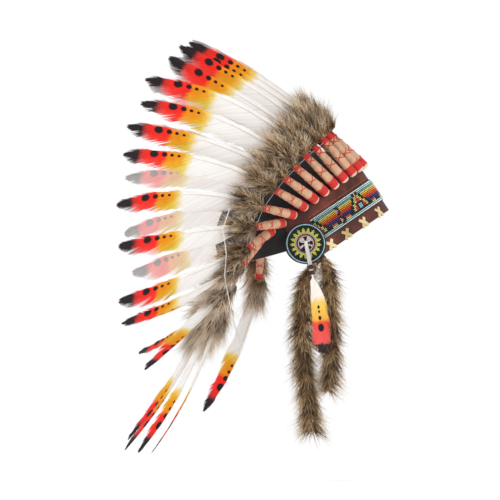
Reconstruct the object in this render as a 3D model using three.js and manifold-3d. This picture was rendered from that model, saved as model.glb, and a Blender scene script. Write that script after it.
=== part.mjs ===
// Feathered headdress, in millimetres, +Z up, +X towards the brow and the wearer's right at -Y.
// The origin is the middle of the head opening, in the plane of the brow band's lower edge.

import * as THREE from 'three';
import Module from 'manifold-3d';
import { mergeVertices } from 'three/addons/utils/BufferGeometryUtils.js';

const wasm = await Module();
wasm.setup();

// Head and cap
const HEAD_LENGTH = 199;
const HEAD_WIDTH = 160;
const EGG = 0.2; // how much wider the head is behind than in front
const HEAD_TILT = 34; // degrees, brow up
const CAP_HEIGHT = 126;
const CAP_WALL = 2.4;
const CAP_FRONT_EDGE = 44;
const CAP_SIDE_EDGE = 26;
const CAP_NAPE_EDGE = 48;
const CLEARANCE = 0.3;

// Brow band, bead strip and rosettes
const BAND_HEIGHT = 60;
const BAND_WALL = 2.4;
const BAND_REACH = 150; // along the head, from the front middle to each end
const STRIP_LOW = 14;
const STRIP_HEIGHT = 30;
const STRIP_WALL = 1.6;
const ROSETTE_REACH = 140;
const ROSETTE_HEIGHT = 22.8; // its middle, above the band's lower edge
const ROSETTE_DIAMETER = 48;
const ROSETTE_WALL = 3.2;
const ROSETTE_DOME = 2;
const PAD_DIAMETER = 22;
const PAD_WALL = 2.6;

// Plumes
const PLUMES_A_SIDE = 12;
const NAPE_PLUMES_A_SIDE = 4;
const PLUME_PITCH = 15.5; // along the head, from plume to plume
const WRAP_HEIGHT = 57.5; // its foot, above the band's lower edge
const WRAP_LENGTH = 55;
const WRAP_DIAMETER = 10.8;
const WRAP_TIP = 3;
const WRAP_FOOT = 0.55; // its foot's width as a share of its diameter
const FEATHER_LENGTH = 206;
const FEATHER_WIDTH = 28;
const QUILL_DIAMETER = 2.6;
const NAPE_PITCH = 24; // the same between the trailing plumes
const TUFT_LENGTH = 76;
const TUFT_RADIUS = 18;
const NAPE_STRIP_HEIGHT = 14;
const NAPE_STRIP_WALL = 2;
const NAPE_LIFT = 0.6; // how far a trailing wrap's foot stands off its strip, over its stub
const NAPE_STUB = 2;

// Hanging drops and fur tails
const LACE_WIDTH = 5;
const LACE_WALL = 1.8;
const DROP_BEAD = 7;
const DROP_LENGTH = 98;
const DROP_WIDTH = 26;
const TAIL_TAB_WIDTH = 16;
const TAIL_TAB_WALL = 1.6;
const LONG_TAIL = 216;
const SHORT_TAIL = 170;
const TAIL_WIDTH = 27;
const TAIL_DEPTH = 17;
const TAIL_LOBES = 5;
const TAIL_BACK = -3; // how far behind the rosette's middle the tails hang, along the head
const TAIL_TAB_FOOT = -6; // places on the head's wall, from the band's lower edge
const TAIL_TAB_TOP = 9;
const TAIL_SINK = 3; // how far each tail's root reaches up over the tab
const DROP_STANDOFF = 12; // how far the drop hangs out from the rosette's face, over the fur
const DROP_BEADS = 2;
const DROP_CLEAR = 1; // how far under the rosette's rim its first bead begins
const DROP_FOLD = 5; // how far above the rosette's rim the lace leaves its face
const DROP_LAP = 2; // how far the lace starts over the middle, and the quill runs up into the bead
const DROP_TAPER = 0.6; // how much of its thickness the drop feather's shaft loses
const DROP_THINNEST = 0.5;
const LACE_LEAN = 0.2; // forward, for each millimetre down
const TAIL_APART = 0.66; // between the tails' roots, as a share of the tab's width
const TAIL_PROUD = 0.9; // how far a tail's middle stands off its foot, as a share of its half depth
const NAPE_MARGIN = 3;

// One row for each pair of plumes, from the front middle to the side. Angles in degrees: how far the
// wrap rises and splays, how far the feather rises at its root and at its tip and splays, the twist of
// its vane, and how much lower the left one of the pair hangs. Length is a share of FEATHER_LENGTH.
const FAN_PLUMES = [
  { rise: 43, splay: 4, root: 43, tip: 23, spread: 9, twist: 64, lower: -1, length: 1.035 },
  { rise: 46, splay: 8, root: 40, tip: 24, spread: 13, twist: 60, lower: 2, length: 1.035 },
  { rise: 49, splay: 12, root: 38, tip: 28, spread: 16, twist: 55, lower: 2.5, length: 1.065 },
  { rise: 47, splay: 18, root: 37, tip: 26, spread: 18, twist: 46, lower: 0.5, length: 1.075 },
  { rise: 45, splay: 22, root: 46, tip: 4, spread: 20, twist: 38, lower: 0, length: 1.145 },
  { rise: 40, splay: 29, root: 42, tip: 2, spread: 23, twist: 32, lower: -2, length: 1.105 },
  { rise: 35, splay: 34, root: 32, tip: 4, spread: 26, twist: 26, lower: -2, length: 1.115 },
  { rise: 30, splay: 41, root: 31, tip: -5, spread: 30, twist: 22, lower: 6, length: 1.105 },
  { rise: 13, splay: 45, root: 20, tip: -18, spread: 34, twist: 18, lower: 9, length: 1.085 },
  { rise: -8, splay: 52, root: -3, tip: -13, spread: 35, twist: 16, lower: 10, length: 1.045 },
];

// The plumes behind these hang differently on each side, so each side has its own rows. The last four
// of each side are the trailing plumes on the nape strip.
const BACK_PLUMES = {
  right: [
    { rise: -35, splay: 50, root: -28, tip: -17, spread: 36, twist: 14, length: 1.06 },
    { rise: -54, splay: 46, root: -32, tip: -20, spread: 38, twist: 14, length: 1.03 },
    { rise: -66, splay: 36, root: -52, tip: -38, spread: 40, twist: 72, length: 0.94 },
    { rise: -74, splay: 20, root: -78, tip: -52, spread: 6, twist: 14, length: 1.04 },
    { rise: -77, splay: 12, root: -74, tip: -50, spread: 4, twist: 14, length: 1.0 },
    { rise: -78, splay: 5, root: -66, tip: -48, spread: 4, twist: 14, length: 0.93 },
  ],
  left: [
    { rise: -60, splay: 51, root: -84, tip: -66, spread: 44, twist: 14, length: 0.8 },
    { rise: -86, splay: 38, root: -84, tip: -52, spread: 26, twist: 14, length: 1.06 },
    { rise: -66, splay: 36, root: -30, tip: -14, spread: 47, twist: 14, length: 0.94 },
    { rise: -72, splay: 28, root: -44, tip: -24, spread: 52, twist: 14, length: 0.92 },
    { rise: -76, splay: 14, root: -70, tip: -56, spread: 12, twist: 14, length: 0.86 },
    { rise: -78, splay: 5, root: -68, tip: -48, spread: 4, twist: 14, length: 1 },
  ],
};

// Half widths of a feather's vane on each side of its shaft, as shares of FEATHER_WIDTH, and its
// thickness as a share of QUILL_DIAMETER, at shares of its length.
const VANE = [
  { at: 0, leading: 0.05, trailing: 0.05, thick: 1 },
  { at: 0.1, leading: 0.1, trailing: 0.3, thick: 1 },
  { at: 0.28, leading: 0.14, trailing: 0.64, thick: 0.9 },
  { at: 0.52, leading: 0.16, trailing: 0.76, thick: 0.75 },
  { at: 0.8, leading: 0.16, trailing: 0.7, thick: 0.6 },
  { at: 0.96, leading: 0.13, trailing: 0.52, thick: 0.5 },
  { at: 1, leading: 0.03, trailing: 0.1, thick: 0.4 },
];

// Radii of a fur tuft as shares of TUFT_RADIUS, at shares of TUFT_LENGTH.
const TUFT = [
  { at: 0, radius: 0.4 },
  { at: 0.2, radius: 0.9 },
  { at: 0.48, radius: 1 },
  { at: 0.8, radius: 0.66 },
  { at: 1, radius: 0.06 },
];
const TUFT_START = 9; // how far it reaches back over the wrap
const TUFT_LOBES = 3;
const LOBE_DEPTH = 0.2;
const TUFT_ROOM = 0.45; // most half width of a tuft, as a share of the room to the next plume

// Way of each hanging fur tail, as shares of its length: how far forward, and its radius share.
const LONG_TAIL_WAY = [
  { down: 0, forward: 0, radius: 0.35 },
  { down: 0.09, forward: -0.06, radius: 0.85 },
  { down: 0.3, forward: -0.075, radius: 1 },
  { down: 0.58, forward: -0.065, radius: 0.95 },
  { down: 0.8, forward: -0.035, radius: 1 },
  { down: 0.94, forward: -0.02, radius: 1 },
  { down: 1, forward: -0.02, radius: 0.5 },
];
const SHORT_TAIL_WAY = [
  { down: 0, forward: 0, radius: 0.35 },
  { down: 0.1, forward: 0.04, radius: 0.8 },
  { down: 0.3, forward: 0.05, radius: 0.9 },
  { down: 0.66, forward: 0.06, radius: 0.85 },
  { down: 0.86, forward: 0.05, radius: 0.8 },
  { down: 1, forward: 0.01, radius: 0.3 },
];

// Half widths of the small drop feather, as shares of DROP_WIDTH, at shares of DROP_LENGTH.
const DROP_FEATHER = [
  { down: 0, forward: 0, half: 0.06 },
  { down: 0.12, forward: 0.03, half: 0.2 },
  { down: 0.35, forward: 0.07, half: 0.36 },
  { down: 0.62, forward: 0.105, half: 0.42 },
  { down: 0.85, forward: 0.13, half: 0.34 },
  { down: 1, forward: 0.15, half: 0.04 },
];

const rad = THREE.MathUtils.degToRad;
const vec = (x, y, z) => new THREE.Vector3(x, y, z);

// The head's outline, walked in equal steps to give points by distance from the front middle
const OUTLINE_STEPS = 720;

function outlineAt(angle) {
  const across = Math.sin(angle) * (1 - EGG * Math.cos(angle));
  return [Math.cos(angle) * HEAD_LENGTH / 2, across];
}

function buildOutline() {
  const raw = [];
  let fullest = 0;
  for (let i = 0; i <= OUTLINE_STEPS; i += 1) {
    const point = outlineAt(Math.PI * i / OUTLINE_STEPS);
    fullest = Math.max(fullest, point[1]);
    raw.push(point);
  }
  const scale = HEAD_WIDTH / 2 / fullest;
  const points = raw.map(([along, across]) => [along, across * scale]);
  const reach = [0];
  for (let i = 1; i < points.length; i += 1) {
    const step = Math.hypot(points[i][0] - points[i - 1][0], points[i][1] - points[i - 1][1]);
    reach.push(reach[i - 1] + step);
  }
  return { points, reach };
}

const OUTLINE = buildOutline();
const HALF_GIRTH = OUTLINE.reach[OUTLINE_STEPS];

// Point and outward direction on the head's outline. Reach is measured from the front middle,
// positive to the wearer's right.
function onHead(reach) {
  const distance = Math.min(Math.abs(reach), HALF_GIRTH);
  const side = reach < 0 ? 1 : -1;
  let i = 1;
  while (i < OUTLINE_STEPS && OUTLINE.reach[i] < distance) {
    i += 1;
  }
  const part = (distance - OUTLINE.reach[i - 1]) / (OUTLINE.reach[i] - OUTLINE.reach[i - 1]);
  const [a, b] = [OUTLINE.points[i - 1], OUTLINE.points[i]];
  const [dx, dy] = [b[0] - a[0], b[1] - a[1]];
  const out = vec(dy, -side * dx, 0).normalize();
  return { at: vec(a[0] + dx * part, side * (a[1] + dy * part), 0), out };
}

// Triangle corners of a solid through sections of equal point counts. Each wall of four corners is
// split along one of its diagonals: with proud 1 the one that stands out further, if the sections
// run the right way round, and with -1 the other.
function skin(sections, proud) {
  const corners = [];
  const sides = sections[0].length;
  for (let i = 0; i + 1 < sections.length; i += 1) {
    for (let j = 0; j < sides; j += 1) {
      const k = (j + 1) % sides;
      const [a, b, c, d] = [sections[i][j], sections[i][k], sections[i + 1][k], sections[i + 1][j]];
      const normal = c.clone().sub(a).cross(d.clone().sub(b));
      const rise = a.clone().add(c).sub(b).sub(d).dot(normal);
      corners.push(...(rise * proud > 0 ? [a, b, c, a, c, d] : [a, b, d, b, c, d]));
    }
  }
  const [first, last] = [sections[0], sections[sections.length - 1]];
  for (let j = 1; j + 1 < sides; j += 1) {
    corners.push(first[0], first[j + 1], first[j], last[0], last[j], last[j + 1]);
  }
  return corners;
}

function sixfoldVolume(corners) {
  let volume = 0;
  for (let i = 0; i < corners.length; i += 3) {
    volume += corners[i].dot(corners[i + 1].clone().cross(corners[i + 2]));
  }
  return volume;
}

// Closed solid through sections of equal point counts, split so that a twisted one stays full
function loft(sections) {
  const [one, other] = [skin(sections, 1), skin(sections, -1)];
  return facing(Math.abs(sixfoldVolume(one)) > Math.abs(sixfoldVolume(other)) ? one : other);
}

// Geometry from triangle corners, turned inside out if its volume comes out negative
function facing(corners) {
  const order = sixfoldVolume(corners) < 0 ? [0, 2, 1] : [0, 1, 2];
  const positions = [];
  for (let i = 0; i < corners.length; i += 3) {
    for (const j of order) {
      positions.push(...corners[i + j].toArray());
    }
  }
  const geometry = new THREE.BufferGeometry();
  geometry.setAttribute('position', new THREE.Float32BufferAttribute(positions, 3));
  return mergeVertices(geometry, 1e-4);
}

function toSolid(geometry) {
  const bare = geometry.clone();
  bare.deleteAttribute('normal');
  bare.deleteAttribute('uv');
  const merged = mergeVertices(bare, 1e-4);
  return new wasm.Manifold(new wasm.Mesh({
    numProp: 3,
    vertProperties: merged.attributes.position.array,
    triVerts: Uint32Array.from(merged.index.array),
  }));
}

function toGeometry(solid) {
  const mesh = solid.getMesh();
  const geometry = new THREE.BufferGeometry();
  geometry.setAttribute('position', new THREE.BufferAttribute(mesh.vertProperties, 3));
  geometry.setIndex(new THREE.BufferAttribute(mesh.triVerts, 1));
  return geometry;
}

function fuse(geometries) {
  let solid = toSolid(geometries[0]);
  for (const geometry of geometries.slice(1)) {
    solid = solid.add(toSolid(geometry));
  }
  return toGeometry(solid);
}

function cut(geometry, tool) {
  return toGeometry(toSolid(geometry).subtract(toSolid(tool)));
}

// Value of a named column between the rows of a table
function between(table, place, key, column) {
  let i = 1;
  while (i < table.length - 1 && table[i][key] < place) {
    i += 1;
  }
  const [a, b] = [table[i - 1], table[i]];
  const part = THREE.MathUtils.clamp((place - a[key]) / (b[key] - a[key]), 0, 1);
  return a[column] + (b[column] - a[column]) * part;
}

// Materials
const finish = (color, roughness) => new THREE.MeshStandardMaterial({ color, roughness, metalness: 0 });
const MATERIALS = {
  felt: finish(0x1b1f1f, 0.95),
  leather: finish(0x5a2c22, 0.6),
  beads: finish(0x3aa8b8, 0.4),
  rosette: finish(0x2f3a34, 0.4),
  hide: finish(0xc99f7e, 0.75),
  feather: finish(0xf2f0ee, 0.7),
  farFeather: finish(0xe6d8d0, 0.7),
  fur: finish(0x7a6450, 0.95),
};

const headdress = new THREE.Group();
const head = new THREE.Group();
head.rotation.y = -rad(HEAD_TILT);
headdress.add(head);
head.updateMatrixWorld(true);

function addPiece(parent, name, geometry, material) {
  const mesh = new THREE.Mesh(geometry, material);
  mesh.name = name;
  parent.add(mesh);
  return mesh;
}

// Skullcap
const CAP_SIDES = 30;
const CAP_LEVELS = 7;
const CAP_WALL_LEVELS = 2; // of these, on the upright wall below the shoulder
const CAP_SHOULDER = BAND_HEIGHT;

// Height of the cap's rim at shares of half the head's girth, from the front middle
const CAP_RIM = [
  { share: 0, edge: CAP_FRONT_EDGE },
  { share: 0.3, edge: CAP_FRONT_EDGE },
  { share: 0.47, edge: CAP_SIDE_EDGE },
  { share: 0.56, edge: CAP_SIDE_EDGE },
  { share: 0.8, edge: CAP_NAPE_EDGE },
  { share: 1, edge: CAP_NAPE_EDGE },
];

function capPoint(reach, level, inward) {
  const low = between(CAP_RIM, Math.abs(reach) / HALF_GIRTH, 'share', 'edge');
  const top = CAP_HEIGHT - inward;
  const { at, out } = onHead(reach);
  if (level <= CAP_WALL_LEVELS) {
    const height = low + (CAP_SHOULDER - low) * level / CAP_WALL_LEVELS;
    return at.addScaledVector(out, -inward).setZ(height);
  }
  const lift = Math.PI / 2 * (level - CAP_WALL_LEVELS) / (CAP_LEVELS - CAP_WALL_LEVELS);
  const height = CAP_SHOULDER + (top - CAP_SHOULDER) * Math.sin(lift);
  return at.addScaledVector(out, -inward).multiplyScalar(Math.cos(lift)).setZ(height);
}

function crownCap() {
  const corners = [];
  const shells = [0, CAP_WALL].map((inward) => {
    const rows = [];
    for (let level = 0; level < CAP_LEVELS; level += 1) {
      const row = [];
      for (let i = 0; i < CAP_SIDES; i += 1) {
        const reach = HALF_GIRTH * (2 * (i + 0.5) / CAP_SIDES - 1);
        row.push(capPoint(reach, level, inward));
      }
      rows.push(row);
    }
    return { rows, top: vec(0, 0, CAP_HEIGHT - inward) };
  });
  shells.forEach(({ rows, top }, inside) => {
    const face = (a, b, c) => (inside ? corners.push(a, c, b) : corners.push(a, b, c));
    for (let level = 0; level + 1 < CAP_LEVELS; level += 1) {
      for (let i = 0; i < CAP_SIDES; i += 1) {
        const k = (i + 1) % CAP_SIDES;
        face(rows[level][i], rows[level][k], rows[level + 1][k]);
        face(rows[level][i], rows[level + 1][k], rows[level + 1][i]);
      }
    }
    for (let i = 0; i < CAP_SIDES; i += 1) {
      face(rows[CAP_LEVELS - 1][i], rows[CAP_LEVELS - 1][(i + 1) % CAP_SIDES], top);
    }
  });
  for (let i = 0; i < CAP_SIDES; i += 1) {
    const k = (i + 1) % CAP_SIDES;
    const [a, b] = [shells[0].rows[0][i], shells[0].rows[0][k]];
    const [c, d] = [shells[1].rows[0][k], shells[1].rows[0][i]];
    corners.push(a, c, b, a, d, c);
  }
  return facing(corners);
}

// A wall that follows the head's outline between two reaches, from one offset to another
function wallOnHead(from, to, steps, low, high, inner, outer) {
  const sections = [];
  for (let i = 0; i <= steps; i += 1) {
    const { at, out } = onHead(from + (to - from) * i / steps);
    const near = at.clone().addScaledVector(out, inner);
    const far = at.clone().addScaledVector(out, outer);
    sections.push([
      near.clone().setZ(low), far.clone().setZ(low), far.clone().setZ(high), near.clone().setZ(high),
    ]);
  }
  return loft(sections);
}

const BAND_INNER = CLEARANCE;
const BAND_OUTER = BAND_INNER + BAND_WALL;
const STRIP_INNER = BAND_OUTER + CLEARANCE;
const BAND_STEPS = 36;
const STRIP_UNDER_ROSETTE = 4; // how far each end of the bead strip runs in under its rosette
const STRIP_REACH = ROSETTE_REACH - ROSETTE_DIAMETER / 2 + STRIP_UNDER_ROSETTE;

addPiece(head, 'crown_cap', crownCap(), MATERIALS.felt);
addPiece(head, 'brow_band', wallOnHead(-BAND_REACH, BAND_REACH, BAND_STEPS, 0, BAND_HEIGHT,
  BAND_INNER, BAND_OUTER), MATERIALS.leather);
addPiece(head, 'beaded_strip', wallOnHead(-STRIP_REACH, STRIP_REACH, BAND_STEPS, STRIP_LOW,
  STRIP_LOW + STRIP_HEIGHT, STRIP_INNER, STRIP_INNER + STRIP_WALL), MATERIALS.beads);

// Rosette: a domed disc on a smaller pad, turned about its own axis
const ROSETTE_SIDES = 20;

function rosette() {
  const radius = ROSETTE_DIAMETER / 2;
  const face = PAD_WALL + ROSETTE_WALL;
  const profile = [
    [0, 0], [PAD_DIAMETER / 2, 0], [PAD_DIAMETER / 2, PAD_WALL], [radius, PAD_WALL],
    [radius, face - ROSETTE_DOME], [0, face],
  ];
  const points = profile.map(([r, h]) => new THREE.Vector2(r, h));
  return new THREE.LatheGeometry(points, ROSETTE_SIDES);
}

function placeRosette(side) {
  const { at, out } = onHead(side * ROSETTE_REACH);
  const mesh = addPiece(head, side > 0 ? 'rosette_right' : 'rosette_left', rosette(),
    MATERIALS.rosette);
  mesh.position.copy(at).addScaledVector(out, BAND_OUTER + CLEARANCE).setZ(ROSETTE_HEIGHT);
  mesh.quaternion.setFromUnitVectors(vec(0, 1, 0), out);
  mesh.updateMatrixWorld(true);
  return mesh;
}

// Plumes. A plume's way runs from the wrap's foot on the head through its feather.
const WAY_STEPS = 24;
const FRAME_REACH = 4; // how far each way the direction of a plume is taken
const ROOM_REACH = 30; // how far each way the next plumes are looked for
const ROOM_STEP = 5;

// How far out a wrap's foot lies, so that its nearest side just clears the band or the cap
function seatOffset(reach, direction) {
  const wall = Math.abs(reach) < BAND_REACH + WRAP_DIAMETER ? BAND_OUTER : 0;
  const { out } = onHead(reach);
  const outward = direction.dot(out.transformDirection(head.matrixWorld));
  const flat = Math.sqrt(1 - outward * outward) * WRAP_DIAMETER / 2;
  return wall + CLEARANCE + Math.max(flat * WRAP_FOOT, flat - WRAP_TIP * outward);
}

function heading(rise, splay, side) {
  const flat = Math.cos(rad(splay));
  return vec(-Math.cos(rad(rise)) * flat, side * -Math.sin(rad(splay)), Math.sin(rad(rise)) * flat);
}

function plumeWay(number, side) {
  const atNape = number >= PLUMES_A_SIDE;
  const row = number < FAN_PLUMES.length
    ? FAN_PLUMES[number]
    : BACK_PLUMES[side > 0 ? 'right' : 'left'][number - FAN_PLUMES.length];
  const lower = side < 0 ? row.lower ?? 0 : 0;
  const reach = side * (atNape
    ? PLUME_PITCH * PLUMES_A_SIDE + NAPE_PITCH * (number - PLUMES_A_SIDE + 0.5)
    : PLUME_PITCH * (number + 0.5));
  const { at, out } = onHead(reach);
  const start = heading(row.rise - lower, row.splay, side);
  const offset = atNape
    ? CLEARANCE + NAPE_STRIP_WALL + NAPE_LIFT
    : seatOffset(reach, start);
  const foot = at.addScaledVector(out, offset).setZ(WRAP_HEIGHT).applyMatrix4(head.matrixWorld);
  const points = [foot.clone()];
  const place = foot.clone().addScaledVector(start, WRAP_LENGTH);
  points.push(place.clone());
  const length = FEATHER_LENGTH * row.length;
  for (let i = 0; i < WAY_STEPS; i += 1) {
    const share = (i + 0.5) / WAY_STEPS;
    const rise = row.root + (row.tip - row.root) * share - lower;
    const turn = Math.min(1, share * 2);
    const splay = row.splay + (row.spread - row.splay) * turn;
    place.addScaledVector(heading(rise, splay, side), length / WAY_STEPS);
    points.push(place.clone());
  }
  return { points, length, row, side, number };
}

// Point at a distance from the foot, measured along the way
function alongWay(way, distance) {
  const step = way.length / WAY_STEPS;
  if (distance <= WRAP_LENGTH) {
    return way.points[0].clone().lerp(way.points[1], distance / WRAP_LENGTH);
  }
  const steps = Math.min((distance - WRAP_LENGTH) / step, WAY_STEPS - 1e-6);
  const i = Math.floor(steps);
  return way.points[1 + i].clone().lerp(way.points[2 + i], steps - i);
}

const COUNT = PLUMES_A_SIDE + NAPE_PLUMES_A_SIDE;
const WAYS = { 1: [], '-1': [] };
for (const side of [1, -1]) {
  for (let i = 0; i < COUNT; i += 1) {
    WAYS[side].push(plumeWay(i, side));
  }
}

function neighbours(way) {
  const same = WAYS[way.side];
  const before = way.number > 0 ? same[way.number - 1] : WAYS[-way.side][0];
  const after = way.number + 1 < COUNT ? same[way.number + 1] : WAYS[-way.side][way.number];
  return { before, after };
}

// Directions at a place of a plume: along it, across it towards the next one, and outwards
function plumeFrame(way, distance) {
  const { before, after } = neighbours(way);
  const from = alongWay(way, Math.max(0, distance - FRAME_REACH));
  const along = alongWay(way, distance + FRAME_REACH).sub(from).normalize();
  const across = alongWay(after, distance).sub(alongWay(before, distance));
  across.addScaledVector(along, -across.dot(along)).normalize();
  const out = along.clone().cross(across).multiplyScalar(way.side);
  return { at: alongWay(way, distance), along, across, out };
}

// Least distance from a place of a plume to the plumes on either side
function room(way, distance) {
  const here = alongWay(way, distance);
  let least = Infinity;
  for (const other of Object.values(neighbours(way))) {
    for (let d = distance - ROOM_REACH; d <= distance + ROOM_REACH; d += ROOM_STEP) {
      least = Math.min(least, here.distanceTo(alongWay(other, Math.max(0, d))));
    }
  }
  return least;
}

function twisted(frame, angle) {
  const across = frame.across.clone().multiplyScalar(Math.cos(angle));
  across.addScaledVector(frame.out, -Math.sin(angle));
  const out = frame.out.clone().multiplyScalar(Math.cos(angle));
  out.addScaledVector(frame.across, Math.sin(angle));
  return { ...frame, across, out };
}

function spot(frame, across, out) {
  return frame.at.clone().addScaledVector(frame.across, across).addScaledVector(frame.out, out);
}

function roundSection(frame, radius, sides) {
  const points = [];
  for (let i = 0; i < sides; i += 1) {
    const angle = 2 * Math.PI * i / sides;
    points.push(spot(frame, Math.cos(angle) * radius, Math.sin(angle) * radius));
  }
  return points;
}

const WRAP_SIDES = 8;
const SLOT_WIDER = 3;
const SLOT_THICKER = 0.8;
const SLOT_STATIONS = 4; // rows of VANE that reach past the fur

function wrapGeometry(way, stub) {
  const radius = WRAP_DIAMETER / 2;
  const frame = plumeFrame(way, WRAP_LENGTH / 2);
  const foot = stub > 0 ? [-stub, WRAP_FOOT / 2] : [0, WRAP_FOOT];
  const rings = [foot, [WRAP_TIP, 1], [WRAP_LENGTH, 1]];
  const sections = rings.map(([distance, share]) => roundSection(
    { ...frame, at: alongWay(way, distance) }, radius * share, WRAP_SIDES));
  return loft(sections);
}

const tuftPlace = (share) => WRAP_LENGTH - TUFT_START + share * TUFT_LENGTH;

function tuftForm(way) {
  return loft(TUFT.map(({ at, radius }, index) => {
    const distance = tuftPlace(at);
    const frame = plumeFrame(way, distance);
    const half = Math.min(TUFT_RADIUS, room(way, distance) * TUFT_ROOM);
    const points = [];
    for (let i = 0; i < TUFT_LOBES * 2; i += 1) {
      const angle = 2 * Math.PI * i / (TUFT_LOBES * 2);
      const lobe = i % 2 ? 1 - LOBE_DEPTH : 1;
      const size = radius * (index % 2 ? lobe : 1);
      points.push(spot(frame, Math.cos(angle) * half * size, Math.sin(angle) * TUFT_RADIUS * size));
    }
    return points;
  }));
}

// Sections of a feather, or of the slot it stands in, which is wider and thicker all round
function vaneSections(way, gap, wider, thicker) {
  const start = WRAP_LENGTH + gap;
  const length = way.length - gap;
  return VANE.map(({ at, leading, trailing, thick }) => {
    const frame = twisted(plumeFrame(way, start + at * length), rad(way.row.twist));
    const half = QUILL_DIAMETER * thick / 2 + thicker;
    return [
      spot(frame, -leading * FEATHER_WIDTH - wider, 0), spot(frame, 0, half),
      spot(frame, trailing * FEATHER_WIDTH + wider, 0), spot(frame, 0, -half),
    ];
  });
}

const featherGeometry = (way, gap) => loft(vaneSections(way, gap, 0, 0));

function tuftGeometry(way) {
  const sections = vaneSections(way, CLEARANCE, SLOT_WIDER, SLOT_THICKER);
  const { along } = plumeFrame(way, WRAP_LENGTH);
  const foot = sections[0].map((point) => point.clone().addScaledVector(along, -CLEARANCE));
  return cut(tuftForm(way), loft([foot, ...sections.slice(1, SLOT_STATIONS)]));
}

for (const side of [1, -1]) {
  const name = side > 0 ? 'right' : 'left';
  for (let i = 0; i < PLUMES_A_SIDE; i += 1) {
    const way = WAYS[side][i];
    const wrap = fuse([wrapGeometry(way, 0), tuftGeometry(way)]);
    addPiece(headdress, `wrap_${name}_${i + 1}`, wrap, MATERIALS.hide);
    const material = side > 0 ? MATERIALS.feather : MATERIALS.farFeather;
    addPiece(headdress, `feather_${name}_${i + 1}`, featherGeometry(way, CLEARANCE), material);
  }
}

// Trailing plumes of one side, on one leather strip along the cap's rim at the nape
const NAPE_STRIP_STEPS = 8;

function napePlumes(side) {
  const from = side * (PLUME_PITCH * PLUMES_A_SIDE + NAPE_MARGIN);
  const to = side * (HALF_GIRTH - NAPE_MARGIN);
  const low = WRAP_HEIGHT - NAPE_STRIP_HEIGHT / 2;
  const strip = wallOnHead(from, to, NAPE_STRIP_STEPS, low, low + NAPE_STRIP_HEIGHT, CLEARANCE,
    CLEARANCE + NAPE_STRIP_WALL).applyMatrix4(head.matrixWorld);
  const pieces = [strip];
  for (let i = PLUMES_A_SIDE; i < COUNT; i += 1) {
    const way = WAYS[side][i];
    pieces.push(wrapGeometry(way, NAPE_STUB), tuftForm(way), featherGeometry(way, -NAPE_STUB));
  }
  return fuse(pieces);
}

// Drop: a lace tab from the rosette's middle, its beads and a small feather, hanging straight
const BEAD_SIDES = 8;

function dropGeometry(side, middle) {
  const face = middle.clone();
  face.y -= side * CLEARANCE;
  const y = (out) => face.y - side * out;
  const rim = ROSETTE_DIAMETER / 2 + DROP_CLEAR;
  const fold = ROSETTE_DIAMETER / 2 - DROP_FOLD;
  const foot = rim + DROP_BEAD * DROP_BEADS;
  const tab = [
    { down: -DROP_LAP, out: 0 },
    { down: fold, out: 0 },
    { down: foot, out: DROP_STANDOFF },
  ];
  const lace = loft(tab.map(({ down, out }) => [-1, 1].flatMap((s) => {
    const half = LACE_WIDTH / 2 * s;
    const walls = s < 0 ? [0, LACE_WALL] : [LACE_WALL, 0];
    return walls.map((w) => vec(face.x + half + LACE_LEAN * Math.max(0, down), y(out + w), face.z - down));
  })));
  const beads = [];
  for (let i = 0; i < DROP_BEADS; i += 1) {
    const down = rim + DROP_BEAD * (i + 0.5);
    const out = DROP_STANDOFF * (down - fold) / (foot - fold) + LACE_WALL / 2;
    const bead = new THREE.SphereGeometry(DROP_BEAD / 2, BEAD_SIDES, BEAD_SIDES / 2);
    beads.push(bead.translate(face.x + LACE_LEAN * down, y(out), face.z - down));
  }
  const top = foot - DROP_LAP;
  const vane = loft(DROP_FEATHER.map(({ down, forward, half }) => {
    const x = face.x + LACE_LEAN * top + forward * DROP_LENGTH;
    const z = face.z - top - down * DROP_LENGTH;
    const out = y(DROP_STANDOFF + LACE_WALL / 2);
    const thick = Math.max(DROP_THINNEST, QUILL_DIAMETER / 2 * (1 - down * DROP_TAPER));
    return [
      vec(x - half * DROP_WIDTH, out, z), vec(x, out - thick, z),
      vec(x + half * DROP_WIDTH, out, z), vec(x, out + thick, z),
    ];
  }));
  return fuse([lace, ...beads, vane]);
}

// Hanging fur: two strips of locks on one tab that lies on the band under the rosette
const TAIL_TAB_STEPS = 2;

function tailGeometry(top, way, length, side) {
  const sections = way.map(({ down, forward, radius }, index) => {
    const points = [];
    for (let i = 0; i < TAIL_LOBES * 2; i += 1) {
      const angle = 2 * Math.PI * (i + (index % 2) * 0.5) / (TAIL_LOBES * 2);
      const lobe = (i % 2 ? 1 - LOBE_DEPTH : 1) * radius;
      const out = TAIL_DEPTH / 2 * (radius * TAIL_PROUD + Math.sin(angle) * lobe);
      points.push(vec(top.x + forward * length + Math.cos(angle) * TAIL_WIDTH / 2 * lobe,
        top.y - side * out, top.z - down * length));
    }
    return points;
  });
  return loft(sections);
}

function furTails(side) {
  const reach = side * (ROSETTE_REACH + TAIL_BACK);
  const half = TAIL_TAB_WIDTH / 2;
  const tab = wallOnHead(reach - half, reach + half, TAIL_TAB_STEPS, TAIL_TAB_FOOT, TAIL_TAB_TOP,
    STRIP_INNER, STRIP_INNER + TAIL_TAB_WALL).applyMatrix4(head.matrixWorld);
  const foot = (shift) => {
    const { at, out } = onHead(reach + side * shift);
    at.addScaledVector(out, STRIP_INNER + TAIL_TAB_WALL / 2).setZ(TAIL_TAB_FOOT + TAIL_SINK);
    return at.applyMatrix4(head.matrixWorld);
  };
  const apart = TAIL_TAB_WIDTH * TAIL_APART / 2;
  const long = tailGeometry(foot(apart), LONG_TAIL_WAY, LONG_TAIL, side);
  const short = tailGeometry(foot(-apart), SHORT_TAIL_WAY, SHORT_TAIL, side);
  return fuse([tab, long, short]);
}

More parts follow.
